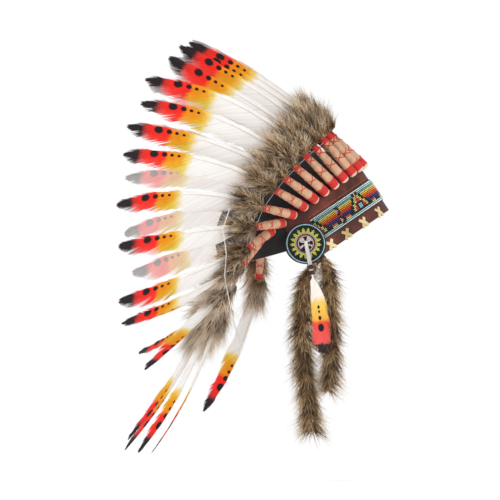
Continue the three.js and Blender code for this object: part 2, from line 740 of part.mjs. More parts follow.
for (const side of [1, -1]) {
  const name = side > 0 ? 'right' : 'left';
  const disc = placeRosette(side);
  const middle = vec(0, PAD_WALL + ROSETTE_WALL, 0).applyMatrix4(disc.matrixWorld);
  addPiece(headdress, `drop_${name}`, dropGeometry(side, middle), MATERIALS.feather);
  addPiece(headdress, `fur_tails_${name}`, furTails(side), MATERIALS.fur);
  addPiece(headdress, `nape_plumes_${name}`, napePlumes(side), MATERIALS.feather);
}

export default headdress;
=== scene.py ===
"""Feathered headdress: a felt cap with a beaded leather band, rosettes, fur and painted feathers."""

import math

import bpy
from mathutils import Matrix, Vector


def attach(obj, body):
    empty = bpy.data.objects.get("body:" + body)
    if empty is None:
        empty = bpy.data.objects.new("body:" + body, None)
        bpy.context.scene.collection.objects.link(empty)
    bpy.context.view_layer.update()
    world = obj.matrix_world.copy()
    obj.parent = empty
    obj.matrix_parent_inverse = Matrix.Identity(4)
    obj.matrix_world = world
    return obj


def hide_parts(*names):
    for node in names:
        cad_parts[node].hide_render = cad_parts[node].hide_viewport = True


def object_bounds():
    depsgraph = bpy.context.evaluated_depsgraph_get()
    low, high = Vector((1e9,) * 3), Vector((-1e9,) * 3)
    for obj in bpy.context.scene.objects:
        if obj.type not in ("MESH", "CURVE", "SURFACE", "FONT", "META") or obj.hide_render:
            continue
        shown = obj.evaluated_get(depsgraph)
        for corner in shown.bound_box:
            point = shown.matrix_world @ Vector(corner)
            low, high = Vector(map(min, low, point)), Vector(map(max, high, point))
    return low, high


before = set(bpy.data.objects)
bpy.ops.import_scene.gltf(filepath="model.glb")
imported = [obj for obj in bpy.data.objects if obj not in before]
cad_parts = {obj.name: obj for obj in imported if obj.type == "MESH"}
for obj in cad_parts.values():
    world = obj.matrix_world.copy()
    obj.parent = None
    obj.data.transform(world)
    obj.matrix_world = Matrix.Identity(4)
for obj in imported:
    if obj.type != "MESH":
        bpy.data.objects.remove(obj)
CAD_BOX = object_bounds()

MM = 0.001
UP = Vector((0, 0, 1))
LEVEL = Vector((1, 0, 0)), Vector((0, 1, 0))  # directions of a ring that lies level

# Camera at the photo's angle: level, square to the wearer's right side
PHOTO_MIDDLE = Vector((-82.1 * MM, 0, 9.1 * MM))
PHOTO_WIDTH = 600 * MM
CAMERA_DISTANCE = 9.0
SENSOR = 36.0

# Head, cap and band
HEAD_LENGTH = 199 * MM
HEAD_WIDTH = 160 * MM
EGG = 0.2
HEAD_TILT = 34
CAP_HEIGHT = 126 * MM
CAP_WALL = 2.4 * MM
CAP_FRONT_EDGE = 44 * MM
CAP_SIDE_EDGE = 26 * MM
CAP_NAPE_EDGE = 48 * MM
CLEARANCE = 0.3 * MM
BAND_HEIGHT = 60 * MM
BAND_WALL = 2.4 * MM
BAND_REACH = 150 * MM
STRIP_LOW = 14 * MM
STRIP_HEIGHT = 30 * MM
STRIP_WALL = 0.7 * MM
ROSETTE_REACH = 140 * MM
ROSETTE_HEIGHT = 22.8 * MM
ROSETTE_DIAMETER = 48 * MM
ROSETTE_WALL = 3.2 * MM
ROSETTE_DOME = 2 * MM
PAD_DIAMETER = 22 * MM
PAD_WALL = 2.6 * MM
BAND_OUTER = CLEARANCE + BAND_WALL
STRIP_INNER = BAND_OUTER + CLEARANCE
STRIP_REACH = ROSETTE_REACH - ROSETTE_DIAMETER / 2 + 4 * MM

# Plumes
PLUMES_A_SIDE = 12
NAPE_PLUMES_A_SIDE = 4
PLUME_COUNT = PLUMES_A_SIDE + NAPE_PLUMES_A_SIDE
PLUME_PITCH = 15.5 * MM
NAPE_PITCH = 24 * MM
WRAP_HEIGHT = 57.5 * MM
WRAP_LENGTH = 55 * MM
WRAP_RADIUS = 5.4 * MM
WRAP_TIP = 3 * MM
WRAP_FOOT = 0.55
FEATHER_LENGTH = 206 * MM
FEATHER_WIDTH = 28 * MM
QUILL_RADIUS = 1.3 * MM
TUFT_START = 9 * MM
TUFT_LENGTH = 76 * MM
TUFT_RADIUS = 18 * MM
NAPE_STRIP_HEIGHT = 14 * MM
NAPE_STRIP_WALL = 2 * MM
NAPE_LIFT = 0.6 * MM
NAPE_MARGIN = 3 * MM
WAY_STEPS = 24

# Drops and fur tails
LACE_WIDTH = 5 * MM
LACE_WALL = 1.8 * MM
LACE_LEAN = 0.2
DROP_BEAD = 7 * MM
DROP_LENGTH = 98 * MM
DROP_WIDTH = 26 * MM
DROP_STANDOFF = 12 * MM
TAIL_TAB_WIDTH = 16 * MM
TAIL_TAB_WALL = 1.6 * MM
TAIL_TAB_FOOT = -6 * MM
TAIL_TAB_TOP = 9 * MM
TAIL_SINK = 3 * MM
TAIL_BACK = -3 * MM
LONG_TAIL = 216 * MM
SHORT_TAIL = 170 * MM
TAIL_WIDTH = 27 * MM
TAIL_DEPTH = 17 * MM

# One row for each pair of plumes, from the front middle to the side, with angles in degrees. The left
# plume of a pair is lowered by the angle in the column lower.
PLUME_COLUMNS = ("rise", "splay", "root", "tip", "spread", "twist", "lower", "length")
FAN_PLUMES = [
    (43, 4, 43, 23, 9, 64, -1, 1.035),
    (46, 8, 40, 24, 13, 60, 2, 1.035),
    (49, 12, 38, 28, 16, 55, 2.5, 1.065),
    (47, 18, 37, 26, 18, 46, 0.5, 1.075),
    (45, 22, 46, 4, 20, 38, 0, 1.145),
    (40, 29, 42, 2, 23, 32, -2, 1.105),
    (35, 34, 32, 4, 26, 26, -2, 1.115),
    (30, 41, 31, -5, 30, 22, 6, 1.105),
    (13, 45, 20, -18, 34, 18, 9, 1.085),
    (-8, 52, -3, -13, 35, 16, 10, 1.045),
]
# Rows of the plumes behind those, for each side
BACK_PLUMES = {
    1: [
        (-35, 50, -28, -17, 36, 14, 0, 1.06),
        (-54, 46, -32, -20, 38, 14, 0, 1.03),
        (-66, 36, -52, -38, 40, 72, 0, 0.94),
        (-74, 20, -78, -52, 6, 14, 0, 1.04),
        (-77, 12, -74, -50, 4, 14, 0, 1.0),
        (-78, 5, -66, -48, 4, 14, 0, 0.93),
    ],
    -1: [
        (-60, 51, -84, -66, 44, 14, 0, 0.8),
        (-86, 38, -84, -52, 26, 14, 0, 1.06),
        (-66, 36, -30, -14, 47, 14, 0, 0.94),
        (-72, 28, -44, -24, 52, 14, 0, 0.92),
        (-76, 14, -70, -56, 12, 14, 0, 0.86),
        (-78, 5, -68, -48, 4, 14, 0, 1.0),
    ],
}

# Half widths of a feather's vane on each side of its shaft, as shares of its width, by share of length
VANE = [
    (0, 0.05, 0.05), (0.1, 0.12, 0.36), (0.28, 0.16, 0.74), (0.5, 0.17, 0.83), (0.7, 0.17, 0.76),
    (0.82, 0.16, 0.64), (0.9, 0.15, 0.48), (0.955, 0.12, 0.3), (1, 0.03, 0.06),
]
DROP_VANE = [
    (0, 0.06, 0.06), (0.12, 0.2, 0.2), (0.35, 0.36, 0.36), (0.62, 0.45, 0.45),
    (0.85, 0.43, 0.43), (0.95, 0.32, 0.32), (1, 0.1, 0.1),
]
# How far forward the drop feather curves, as a share of its length
DROP_BOW = [(0, 0), (0.12, 0.03), (0.35, 0.07), (0.62, 0.105), (0.85, 0.13), (1, 0.15)]
# Radius of a fur tuft, and ways of the tails as (down, forward, radius)
TUFT = [(0, 0.4), (0.2, 0.9), (0.48, 1), (0.8, 0.66), (1, 0.06)]
LONG_TAIL_WAY = [
    (0, 0, 0.35), (0.09, -0.06, 0.85), (0.3, -0.075, 1), (0.58, -0.065, 0.95),
    (0.8, -0.035, 1), (0.94, -0.02, 1), (1, -0.02, 0.5),
]
SHORT_TAIL_WAY = [
    (0, 0, 0.35), (0.1, 0.04, 0.8), (0.3, 0.05, 0.9), (0.66, 0.06, 0.85), (0.86, 0.05, 0.8),
    (1, 0.01, 0.3),
]

SIDES = {1: "right", -1: "left"}


def paint(code):
    """Linear colour of a web colour code."""
    shares = [int(code[i:i + 2], 16) / 255 for i in (1, 3, 5)]
    return tuple(s / 12.92 if s <= 0.04045 else ((s + 0.055) / 1.055) ** 2.4 for s in shares) + (1.0,)


def mix(a, b, share):
    return a + (b - a) * share


def even(steps):
    """Shares from 0 to 1 in even steps."""
    return [i / steps for i in range(steps + 1)]


def between(table, place, column=1):
    """Value of a column between the rows of a table whose first column is the place."""
    i = 1
    while i < len(table) - 1 and table[i][0] < place:
        i += 1
    before, after = table[i - 1], table[i]
    share = min(1.0, max(0.0, (place - before[0]) / (after[0] - before[0])))
    return mix(before[column], after[column], share)


# The head

OUTLINE_STEPS = 720


def head_outline():
    raw = []
    for i in range(OUTLINE_STEPS + 1):
        angle = math.pi * i / OUTLINE_STEPS
        raw.append((math.cos(angle) * HEAD_LENGTH / 2, math.sin(angle) * (1 - EGG * math.cos(angle))))
    scale = HEAD_WIDTH / 2 / max(across for _, across in raw)
    points = [(along, across * scale) for along, across in raw]
    reach = [0.0]
    for a, b in zip(points, points[1:]):
        reach.append(reach[-1] + math.dist(a, b))
    return points, reach


OUTLINE, OUTLINE_REACH = head_outline()
HALF_GIRTH = OUTLINE_REACH[-1]
HEAD = Matrix.Rotation(-math.radians(HEAD_TILT), 4, "Y")


def on_head(reach):
    """Place and outward direction on the head's outline, at a reach from the front middle."""
    distance = min(abs(reach), HALF_GIRTH)
    side = 1 if reach < 0 else -1
    i = max(1, next((k for k in range(1, OUTLINE_STEPS) if OUTLINE_REACH[k] >= distance), OUTLINE_STEPS))
    share = (distance - OUTLINE_REACH[i - 1]) / (OUTLINE_REACH[i] - OUTLINE_REACH[i - 1])
    a, b = OUTLINE[i - 1], OUTLINE[i]
    dx, dy = b[0] - a[0], b[1] - a[1]
    out = Vector((dy, side * abs(dx), 0)).normalized()
    return Vector((a[0] + dx * share, side * (a[1] + dy * share), 0)), out


def head_place(reach, height, off):
    """Place on the head's wall: reach round it, height over the band's edge, distance off it."""
    at, out = on_head(reach)
    return HEAD @ (at + out * off + UP * height)


def outward_at(reach):
    return HEAD.to_3x3() @ on_head(reach)[1]


# The plumes' ways

def heading(rise, splay, side):
    rise, splay = math.radians(rise), math.radians(splay)
    flat = math.cos(splay)
    return Vector((-math.cos(rise) * flat, -side * math.sin(splay), math.sin(rise) * flat))


class Plume:
    """One plume: its way from the wrap's foot through the feather, and frames along it."""

    def __init__(self, number, side):
        self.number, self.side = number, side
        rows = FAN_PLUMES if number < len(FAN_PLUMES) else BACK_PLUMES[side]
        row = dict(zip(PLUME_COLUMNS, rows[number % len(FAN_PLUMES)]))
        lower = row["lower"] if side < 0 else 0
        self.twist = math.radians(row["twist"])
        self.length = FEATHER_LENGTH * row["length"]
        self.at_nape = number >= PLUMES_A_SIDE
        if self.at_nape:
            self.reach = side * (PLUME_PITCH * PLUMES_A_SIDE + NAPE_PITCH * (number - PLUMES_A_SIDE + 0.5))
        else:
            self.reach = side * PLUME_PITCH * (number + 0.5)
        start = heading(row["rise"] - lower, row["splay"], side)
        off = CLEARANCE + NAPE_STRIP_WALL + NAPE_LIFT if self.at_nape else self.seat(start)
        place = head_place(self.reach, WRAP_HEIGHT, off)
        self.points = [place.copy()]
        place = place + start * WRAP_LENGTH
        self.points.append(place.copy())
        for i in range(WAY_STEPS):
            share = (i + 0.5) / WAY_STEPS
            rise = mix(row["root"], row["tip"], share) - lower
            splay = mix(row["splay"], row["spread"], min(1.0, share * 2))
            place = place + heading(rise, splay, side) * self.length / WAY_STEPS
            self.points.append(place.copy())

    def seat(self, start):
        """How far off the head a wrap that starts this way lies, so that it clears the band."""
        wall = BAND_OUTER if abs(self.reach) < BAND_REACH + 2 * WRAP_RADIUS else 0
        outward = start.dot(outward_at(self.reach))
        flat = math.sqrt(1 - outward * outward) * WRAP_RADIUS
        return wall + CLEARANCE + max(flat * WRAP_FOOT, flat - WRAP_TIP * outward)

    def at(self, distance):
        if distance <= WRAP_LENGTH:
            return self.points[0].lerp(self.points[1], distance / WRAP_LENGTH)
        steps = min((distance - WRAP_LENGTH) / (self.length / WAY_STEPS), WAY_STEPS - 1e-6)
        i = int(steps)
        return self.points[1 + i].lerp(self.points[2 + i], steps - i)

    def neighbours(self):
        before = PLUMES[self.side][self.number - 1] if self.number else PLUMES[-self.side][0]
        last = self.number + 1 == PLUME_COUNT
        after = PLUMES[-self.side][self.number] if last else PLUMES[self.side][self.number + 1]
        return before, after

    def frame(self, distance, twist=0.0):
        """Place, and directions along the plume, across it towards the next one, and outwards."""
        before, after = self.neighbours()
        near = 4 * MM
        along = (self.at(distance + near) - self.at(max(0, distance - near))).normalized()
        across = after.at(distance) - before.at(distance)
        across = (across - along * across.dot(along)).normalized()
        out = along.cross(across) * self.side
        turned = across * math.cos(twist) - out * math.sin(twist)
        return self.at(distance), along, turned, out * math.cos(twist) + across * math.sin(twist)

    def room(self, distance):
        here = self.at(distance)
        spots = [max(0, distance + step * 5 * MM) for step in range(-6, 7)]
        others = [other for other in self.neighbours() if other is not self]
        return min((here - other.at(spot)).length for other in others for spot in spots)


PLUMES = {1: [], -1: []}
for each_side in SIDES:
    PLUMES[each_side] = [Plume(i, each_side) for i in range(PLUME_COUNT)]


# Meshes

SMOOTH_ANGLE = math.radians(40)


def new_mesh(name, corners, faces=(), **columns):
    """Mesh with named columns of numbers, vectors or colours for its corners."""
    mesh = bpy.data.meshes.new(name)
    mesh.from_pydata([tuple(c) for c in corners], [], [tuple(f) for f in faces])
    for key, values in columns.items():
        add_column(mesh, key, values)
    if faces:
        mesh.shade_smooth()
        mesh.set_sharp_from_angle(angle=SMOOTH_ANGLE)
    mesh.update()
    return mesh


def add_column(mesh, key, values):
    size = len(values[0]) if hasattr(values[0], "__len__") else 1
    kind, field = {1: ("FLOAT", "value"), 3: ("FLOAT_VECTOR", "vector"), 4: ("FLOAT_COLOR", "color")}[size]
    layer = mesh.attributes.new(key, kind, "POINT")
    flat = values if size == 1 else [number for value in values for number in value]
    layer.data.foreach_set(field, flat)


def loft(sections):
    """Corners and faces of a solid through sections of equal point counts, facing outwards."""
    sides = len(sections[0])
    corners = [point for section in sections for point in section]
    faces = []
    for low in range(0, len(corners) - sides, sides):
        high = low + sides
        for j in range(sides):
            k = (j + 1) % sides
            faces.append((low + j, low + k, high + k, high + j))
    faces.append(tuple(reversed(range(sides))))
    faces.append(tuple(range(len(corners) - sides, len(corners))))
    fans = ([corners[f[0]], corners[f[i]], corners[f[i + 1]]] for f in faces for i in range(1, len(f) - 1))
    if sum(a.dot(b.cross(c)) for a, b, c in fans) < 0:
        faces = [tuple(reversed(f)) for f in faces]
    return corners, faces


def ring(at, across, out, half, depth, sides):
    points = []
    for i in range(sides):
        angle = 2 * math.pi * i / sides
        points.append(at + across * math.cos(angle) * half + out * math.sin(angle) * depth)
    return points


def new_object(name, data):
    """Object of a mesh, light or camera, put into the scene."""
    made = bpy.data.objects.new(name, data)
    bpy.context.scene.collection.objects.link(made)
    return made


def several(name, *parts):
    """One mesh out of several meshes, each with its own materials."""
    objects = [new_object(name, part) for part in parts]
    with bpy.context.temp_override(
            active_object=objects[0], object=objects[0], selected_editable_objects=objects):
        bpy.ops.object.join()
    mesh = objects[0].data
    bpy.data.objects.remove(objects[0])
    return mesh


def dressed(mesh, material):
    mesh.materials.clear()
    mesh.materials.append(material)
    return mesh


def solid(name, shape, material, **columns):
    """Dressed mesh of the corners and faces of a shape."""
    return dressed(new_mesh(name, *shape, **columns), material)


def add_piece(name, mesh, slot, *nodes):
    """Visible piece on the headdress that stands for these nodes of the frame."""
    piece = new_object(name, mesh)
    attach(piece, "root")
    if nodes:
        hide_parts(*nodes)


# Node trees

class Nodes:
    """Adds nodes to a tree. A value for a socket is linked where it is a socket, and set where not."""

    def __init__(self, tree):
        self.tree = tree

    def add(self, kind, inputs=None, **settings):
        node = self.tree.nodes.new(kind)
        for key, value in settings.items():
            setattr(node, key, value)
        for key, value in (inputs or {}).items():
            socket = node.inputs[key] if isinstance(key, int) else next(
                s for s in node.inputs if s.name == key and s.enabled)
            if isinstance(value, bpy.types.NodeSocket):
                self.tree.links.new(value, socket)
            else:
                socket.default_value = value
        return node

    def out(self, kind, inputs=None, output=None, **settings):
        node = self.add(kind, inputs, **settings)
        if output is None:
            return next(s for s in node.outputs if s.enabled)
        return next(s for s in node.outputs if s.name == output and s.enabled)

    def math(self, operation, *values):
        return self.out("ShaderNodeMath", dict(enumerate(values)), operation=operation)

    def plus(self, a, b):
        return self.math("ADD", a, b)

    def minus(self, a, b):
        return self.math("SUBTRACT", a, b)

    def times(self, a, b):
        return self.math("MULTIPLY", a, b)

    def vector(self, operation, *values, output=None):
        return self.out("ShaderNodeVectorMath", dict(enumerate(values)), output, operation=operation)

    def scaled(self, vector, scale):
        return self.out("ShaderNodeVectorMath", {0: vector, "Scale": scale}, operation="SCALE")

    def combine(self, x, y, z):
        return self.out("ShaderNodeCombineXYZ", {0: x, 1: y, 2: z})

    def split(self, vector):
        return self.add("ShaderNodeSeparateXYZ", {0: vector}).outputs

    def ranged(self, value, low, high, to_low=0.0, to_high=1.0):
        return self.out("ShaderNodeMapRange", {0: value, 1: low, 2: high, 3: to_low, 4: to_high})

    def noise(self, place, scale, detail=3.0, output="Fac", dimensions="3D"):
        key = "W" if dimensions == "1D" else "Vector"
        inputs = {key: place, "Scale": scale, "Detail": detail}
        node = self.add("ShaderNodeTexNoise", inputs, noise_dimensions=dimensions)
        return node.outputs[0 if output == "Fac" else 1]


class Growth(Nodes):
    """A Geometry Nodes tree with named inputs for its sizes, a material and, where it draws, a seed."""

    def __init__(self, name, *sizes, seeded=False):
        super().__init__(bpy.data.node_groups.new(name, "GeometryNodeTree"))
        face = self.tree.interface
        inputs = [("Geometry", "Geometry"), *((size, "Float") for size in sizes)]
        inputs += [("Seed", "Int")] if seeded else []
        for key, kind in inputs + [("Material", "Material")]:
            face.new_socket(key, in_out="INPUT", socket_type="NodeSocket" + kind)
        face.new_socket("Geometry", in_out="OUTPUT", socket_type="NodeSocketGeometry")
        self.given = self.tree.nodes.new("NodeGroupInput").outputs
        self.base = self.given["Geometry"]

    def column(self, name, kind="FLOAT"):
        return self.out("GeometryNodeInputNamedAttribute", {"Name": name}, data_type=kind)

    def way(self, name):
        return self.column(name, "FLOAT_VECTOR")

    def store(self, geometry, name, value, kind="FLOAT"):
        inputs = {"Geometry": geometry, "Name": name, "Value": value}
        return self.out("GeometryNodeStoreNamedAttribute", inputs, data_type=kind, domain="POINT")

    def chance(self, low, high, step=0.0, kind="FLOAT"):
        """Random value of each element. Each step from the tree's seed gives other values."""
        seed = self.plus(self.given["Seed"], step) if step else self.given["Seed"]
        return self.out("FunctionNodeRandomValue", {"Min": low, "Max": high, "Seed": seed}, data_type=kind)

    def place(self):
        return self.out("GeometryNodeInputPosition")

    def aligned(self, axis, vector, rotation=None, pivot="AUTO"):
        inputs = {"Vector": vector}
        if rotation is not None:
            inputs["Rotation"] = rotation
        return self.out("FunctionNodeAlignRotationToVector", inputs, axis=axis, pivot_axis=pivot)

    def placed(self, points, instance, rotation, scale=(1.0, 1.0, 1.0)):
        """A turned and scaled copy of an instance on each point."""
        inputs = {"Points": points, "Instance": instance, "Rotation": rotation, "Scale": scale}
        return self.out("GeometryNodeInstanceOnPoints", inputs)

    def moved(self, geometry, **inputs):
        return self.out("GeometryNodeSetPosition", {"Geometry": geometry, **inputs})

    def joined(self, *geometries):
        node = self.add("GeometryNodeJoinGeometry")
        for each in geometries:
            self.tree.links.new(each, node.inputs[0])
        return node.outputs[0]

    def tube(self, curve):
        """Round thread along a curve."""
        inputs = {"Resolution": 6, "Radius": self.given["Thread Radius"]}
        profile = self.out("GeometryNodeCurvePrimitiveCircle", inputs, mode="RADIUS")
        inputs = {"Curve": curve, "Profile Curve": profile, "Fill Caps": True}
        return self.out("GeometryNodeCurveToMesh", inputs)

    def finish(self, geometry, smooth=True):
        """Ends the tree: smooth faces, instances made real, then the material."""
        if smooth:
            geometry = self.out("GeometryNodeSetShadeSmooth", {"Geometry": geometry})
        real = self.out("GeometryNodeRealizeInstances", {"Geometry": geometry})
        inputs = {"Geometry": real, "Material": self.given["Material"]}
        end = self.tree.nodes.new("NodeGroupOutput").inputs[0]
        self.tree.links.new(self.out("GeometryNodeSetMaterial", inputs), end)
        return self.tree


def grown(tree, base, keep=(), **sizes):
    """Plain mesh of what a tree makes of a base mesh, with the columns that its material reads."""
    holder = new_object("growing", base)
    modifier = holder.modifiers.new("growth", "NODES")
    modifier.node_group = tree
    for socket in tree.interface.items_tree:
        key = socket.name.lower().replace(" ", "_")
        if socket.in_out == "INPUT" and key in sizes:
            modifier[socket.identifier] = sizes[key]
    graph = bpy.context.evaluated_depsgraph_get()
    mesh = bpy.data.meshes.new_from_object(
        holder.evaluated_get(graph), preserve_all_data_layers=True, depsgraph=graph)
    holder.modifiers.remove(modifier)
    bpy.data.objects.remove(holder)
    bpy.data.meshes.remove(base)
    for key in [a.name for a in mesh.attributes if a.name not in keep and not a.is_internal]:
        if key not in ("position", "sharp_face", "sharp_edge", "material_index"):
            mesh.attributes.remove(mesh.attributes[key])
    return mesh


def bead_growth():
    """A round glass bead on each point, along the point's axis column."""
    tree = Growth("beads", "Bead Diameter", "Bead Length", "Size Spread", seeded=True)
    given = tree.given
    bead = tree.out("GeometryNodeMeshUVSphere", {"Segments": 8, "Rings": 4, "Radius": 0.5})
    size = tree.combine(given["Bead Diameter"], given["Bead Diameter"], given["Bead Length"])
    spread = tree.chance(tree.minus(1.0, given["Size Spread"]), 1.0)
    turn = tree.aligned("Z", tree.way("axis"))
    return tree.finish(tree.placed(tree.base, bead, turn, tree.scaled(size, spread)))


def barb_growth():
    """A ribbon on each barb root, as long and wide as the root's columns say."""
    tree = Growth("barbs", "Thickness", "Bend", "Split Angle", "Split Scale", "Flutter", seeded=True)
    given = tree.given
    block = tree.out("GeometryNodeMeshCube", {"Vertices X": 4, "Vertices Y": 2, "Vertices Z": 2}, "Mesh")
    x, y, z = tree.split(tree.place())
    share = tree.plus(x, 0.5)
    taper = tree.minus(1.0, tree.times(tree.math("POWER", share, 3.0), 0.85))
    bowed = tree.times(tree.math("POWER", share, 2.0), given["Bend"])
    shape = tree.combine(share, tree.times(y, taper), z)
    ribbon = tree.store(tree.moved(block, Position=shape), "bow", bowed)

    forward, face = tree.way("forward"), tree.way("face")
    toward_tip = tree.vector("CROSS_PRODUCT", face, forward)
    from_tip = tree.column("root_from_tip")
    offset = tree.times(given["Seed"], 7.31)
    wave = tree.plus(tree.times(from_tip, given["Split Scale"]), offset)
    groups = tree.ranged(tree.noise(wave, 1.0, 2.0, dimensions="1D"), 0.42, 0.58, -1.0, 1.0)
    jitter = tree.times(tree.chance(-1.0, 1.0), given["Flutter"])
    swing = tree.plus(tree.times(groups, given["Split Angle"]), jitter)
    forward = tree.vector("ADD", forward, tree.scaled(toward_tip, swing))
    turn = tree.aligned("Z", face, tree.aligned("X", forward), "X")

    roots = tree.store(tree.base, "root", tree.place(), "FLOAT_VECTOR")
    roots = tree.store(roots, "shade", tree.chance(0.0, 1.0, 5.0))
    reach = tree.times(tree.column("reach"), tree.chance(0.97, 1.01, 9.0))
    scale = tree.combine(reach, tree.column("girth"), given["Thickness"])
    barbs = tree.placed(roots, ribbon, turn, scale)
    real = tree.out("GeometryNodeRealizeInstances", {"Geometry": barbs})
    bow = tree.times(tree.column("bow"), tree.column("reach"))
    real = tree.moved(real, Offset=tree.scaled(tree.way("shaft"), bow))
    offset = tree.vector("SUBTRACT", tree.place(), tree.way("root"))
    ahead, aside = (
        tree.vector("DOT_PRODUCT", offset, tree.way(name), output="Value") for name in ("shaft", "across"))
    real = tree.store(real, "from_tip", tree.minus(tree.column("root_from_tip"), ahead))
    return tree.finish(tree.store(real, "aside", aside), smooth=False)


def fur_growth():
    """Strands on a core, laid along its lay column and gathered in locks."""
    tree = Growth(
        "fur", "Density", "Strand Length", "Strand Radius", "Length Spread", "Lock Scale", "Lock Lean",
        "Stray", "Bend", seeded=True)
    given = tree.given
    cone = tree.out("GeometryNodeMeshCone", {
        "Vertices": 3, "Side Segments": 2, "Radius Top": 0.0, "Radius Bottom": 1.0, "Depth": 1.0}, "Mesh")
    x, y, z = tree.split(tree.place())
    spread = tree.out("GeometryNodeDistributePointsOnFaces", {
        "Mesh": tree.base, "Density": given["Density"], "Seed": given["Seed"]}, "Points")
    place = tree.place()
    locks = tree.noise(place, given["Lock Scale"], 1.5, "Color")
    lean = tree.scaled(tree.vector("SUBTRACT", locks, (0.5, 0.5, 0.5)), given["Lock Lean"])
    low, high = (-1.0, -1.0, -1.0), (1.0, 1.0, 1.0)
    loose = tree.scaled(tree.chance(low, high, kind="FLOAT_VECTOR"), given["Stray"])
    lay = tree.vector("ADD", tree.way("lay"), tree.vector("ADD", lean, loose))
    roll = tree.combine(0.0, 0.0, tree.chance(0.0, 2 * math.pi, 3.0))
    turn = tree.out("FunctionNodeRotateRotation", {
        "Rotation": tree.aligned("Z", lay), "Rotate By": tree.out("FunctionNodeEulerToRotation", {0: roll}),
    }, rotation_space="LOCAL")
    longest = tree.times(given["Strand Length"], tree.column("fullness"))
    shortest = tree.minus(1.0, given["Length Spread"])
    length = tree.times(longest, tree.chance(shortest, 1.0, 11.0))
    points = tree.store(spread, "shade", tree.chance(0.0, 1.0, 17.0))
    # noise of each lock, which the fur material turns into painted shade on whole locks
    points = tree.store(points, "lock", tree.noise(place, given["Lock Scale"], 1.5))
    strand = tree.store(cone, "tip", z)
    bent = tree.times(tree.math("POWER", z, 2.0), given["Bend"])
    strand = tree.moved(strand, Position=tree.combine(tree.plus(x, bent), y, z))
    scale = tree.combine(given["Strand Radius"], given["Strand Radius"], length)
    strands = tree.placed(points, strand, turn, scale)
    core = tree.store(tree.base, "lock", tree.noise(tree.place(), given["Lock Scale"], 1.5))
    return tree.finish(tree.joined(strands, core))


def lacing_growth():
    """Two threads wound opposite ways round each point's axis."""
    tree = Growth("criss_cross", "Foot Radius", "Top Radius", "Height", "Turns", "Thread Radius")
    given = tree.given
    windings = [
        tree.out("GeometryNodeCurveSpiral", {
            "Resolution": 20, "Rotations": given["Turns"], "Start Radius": given["Foot Radius"],
            "End Radius": given["Top Radius"], "Height": given["Height"], "Reverse": reverse,
        }) for reverse in (False, True)
    ]
    turn = tree.aligned("X", tree.way("across"), tree.aligned("Z", tree.way("axis")), "Z")
    return tree.finish(tree.placed(tree.base, tree.tube(tree.joined(*windings)), turn))


def thread_growth():
    """A round thread along a line."""
    tree = Growth("thread", "Thread Radius")
    line = tree.out("GeometryNodeMeshToCurve", {"Mesh": tree.base})
    return tree.finish(tree.tube(line))


def stitch_growth():
    """Short stitches, end to end along a line."""
    tree = Growth("stitches", "Pitch", "Stitch Length", "Thread Radius")
    given = tree.given
    line = tree.out("GeometryNodeMeshToCurve", {"Mesh": tree.base})
    spaced = tree.out("GeometryNodeResampleCurve", {"Curve": line, "Length": given["Pitch"]}, mode="LENGTH")
    stitch = tree.out("GeometryNodeMeshUVSphere", {"Segments": 6, "Rings": 5, "Radius": 1.0})
    half = tree.times(given["Stitch Length"], 0.5)
    scale = tree.combine(given["Thread Radius"], given["Thread Radius"], half)
    turn = tree.aligned("Z", tree.out("GeometryNodeInputTangent"))
    return tree.finish(tree.placed(spaced, stitch, turn, scale))


# Materials

class Finish(Nodes):
    """A material with one shader, whose fixed values are set on the shader itself."""

    def __init__(self, name, shine=0.5, **fixed):
        self.material = bpy.data.materials.new(name)
        self.material.use_nodes = True
        super().__init__(self.material.node_tree)
        self.tree.nodes.clear()
        self.shader = self.tree.nodes.new("ShaderNodeBsdfPrincipled")
        end = self.tree.nodes.new("ShaderNodeOutputMaterial")
        self.tree.links.new(self.shader.outputs[0], end.inputs["Surface"])
        for key, value in fixed.items():
            self.shader.inputs[key.replace("_", " ").title()].default_value = value
        self.shader.inputs["Specular IOR Level"].default_value = shine
        self.place = self.out("ShaderNodeTexCoord", output="Object")

    def column(self, name, output="Fac"):
        node = self.add("ShaderNodeAttribute", attribute_name=name)
        return node.outputs[output]

    def distance(self, name):
        """Column of distances, in mm."""
        return self.times(self.column(name), 1 / MM)

    def cloud(self, scale, detail):
        return self.noise(self.place, scale, detail)

    def ramp(self, value, *stops):
        node = self.add("ShaderNodeValToRGB", {0: value})
        band = node.color_ramp
        while len(band.elements) < len(stops):
            band.elements.new(1.0)
        for element, (position, code) in zip(band.elements, stops):
            element.position = position
            element.color = paint(code)
        return node.outputs[0]

    def blend(self, share, a, b, mode="MIX"):
        node = self.add("ShaderNodeMix", data_type="RGBA", blend_type=mode)
        for index, value in ((0, share), (6, a), (7, b)):
            if isinstance(value, bpy.types.NodeSocket):
                self.tree.links.new(value, node.inputs[index])
            else:
                node.inputs[index].default_value = value
        return node.outputs[2]

    def colour(self, socket):
        self.tree.links.new(socket, self.shader.inputs["Base Color"])

    def rough(self, socket):
        self.tree.links.new(socket, self.shader.inputs["Roughness"])

    def mottle(self, scale, detail, *stops):
        """Cloudy change between colours."""
        return self.ramp(self.cloud(scale, detail), *stops)

    def bump(self, height, distance, strength):
        node = self.add("ShaderNodeBump", {"Height": height, "Distance": distance, "Strength": strength})
        self.tree.links.new(node.outputs[0], self.shader.inputs["Normal"])


def felt_finish():
    finish = Finish("black_felt", roughness=0.95, sheen_weight=0.15, sheen_roughness=0.6)
    finish.colour(finish.mottle(70.0, 4.0, (0.3, "#0d0f10"), (0.6, "#191c1d"), (0.8, "#25292a")))
    finish.bump(finish.cloud(1400.0, 6.0), 0.4 * MM, 0.8)
    return finish.material


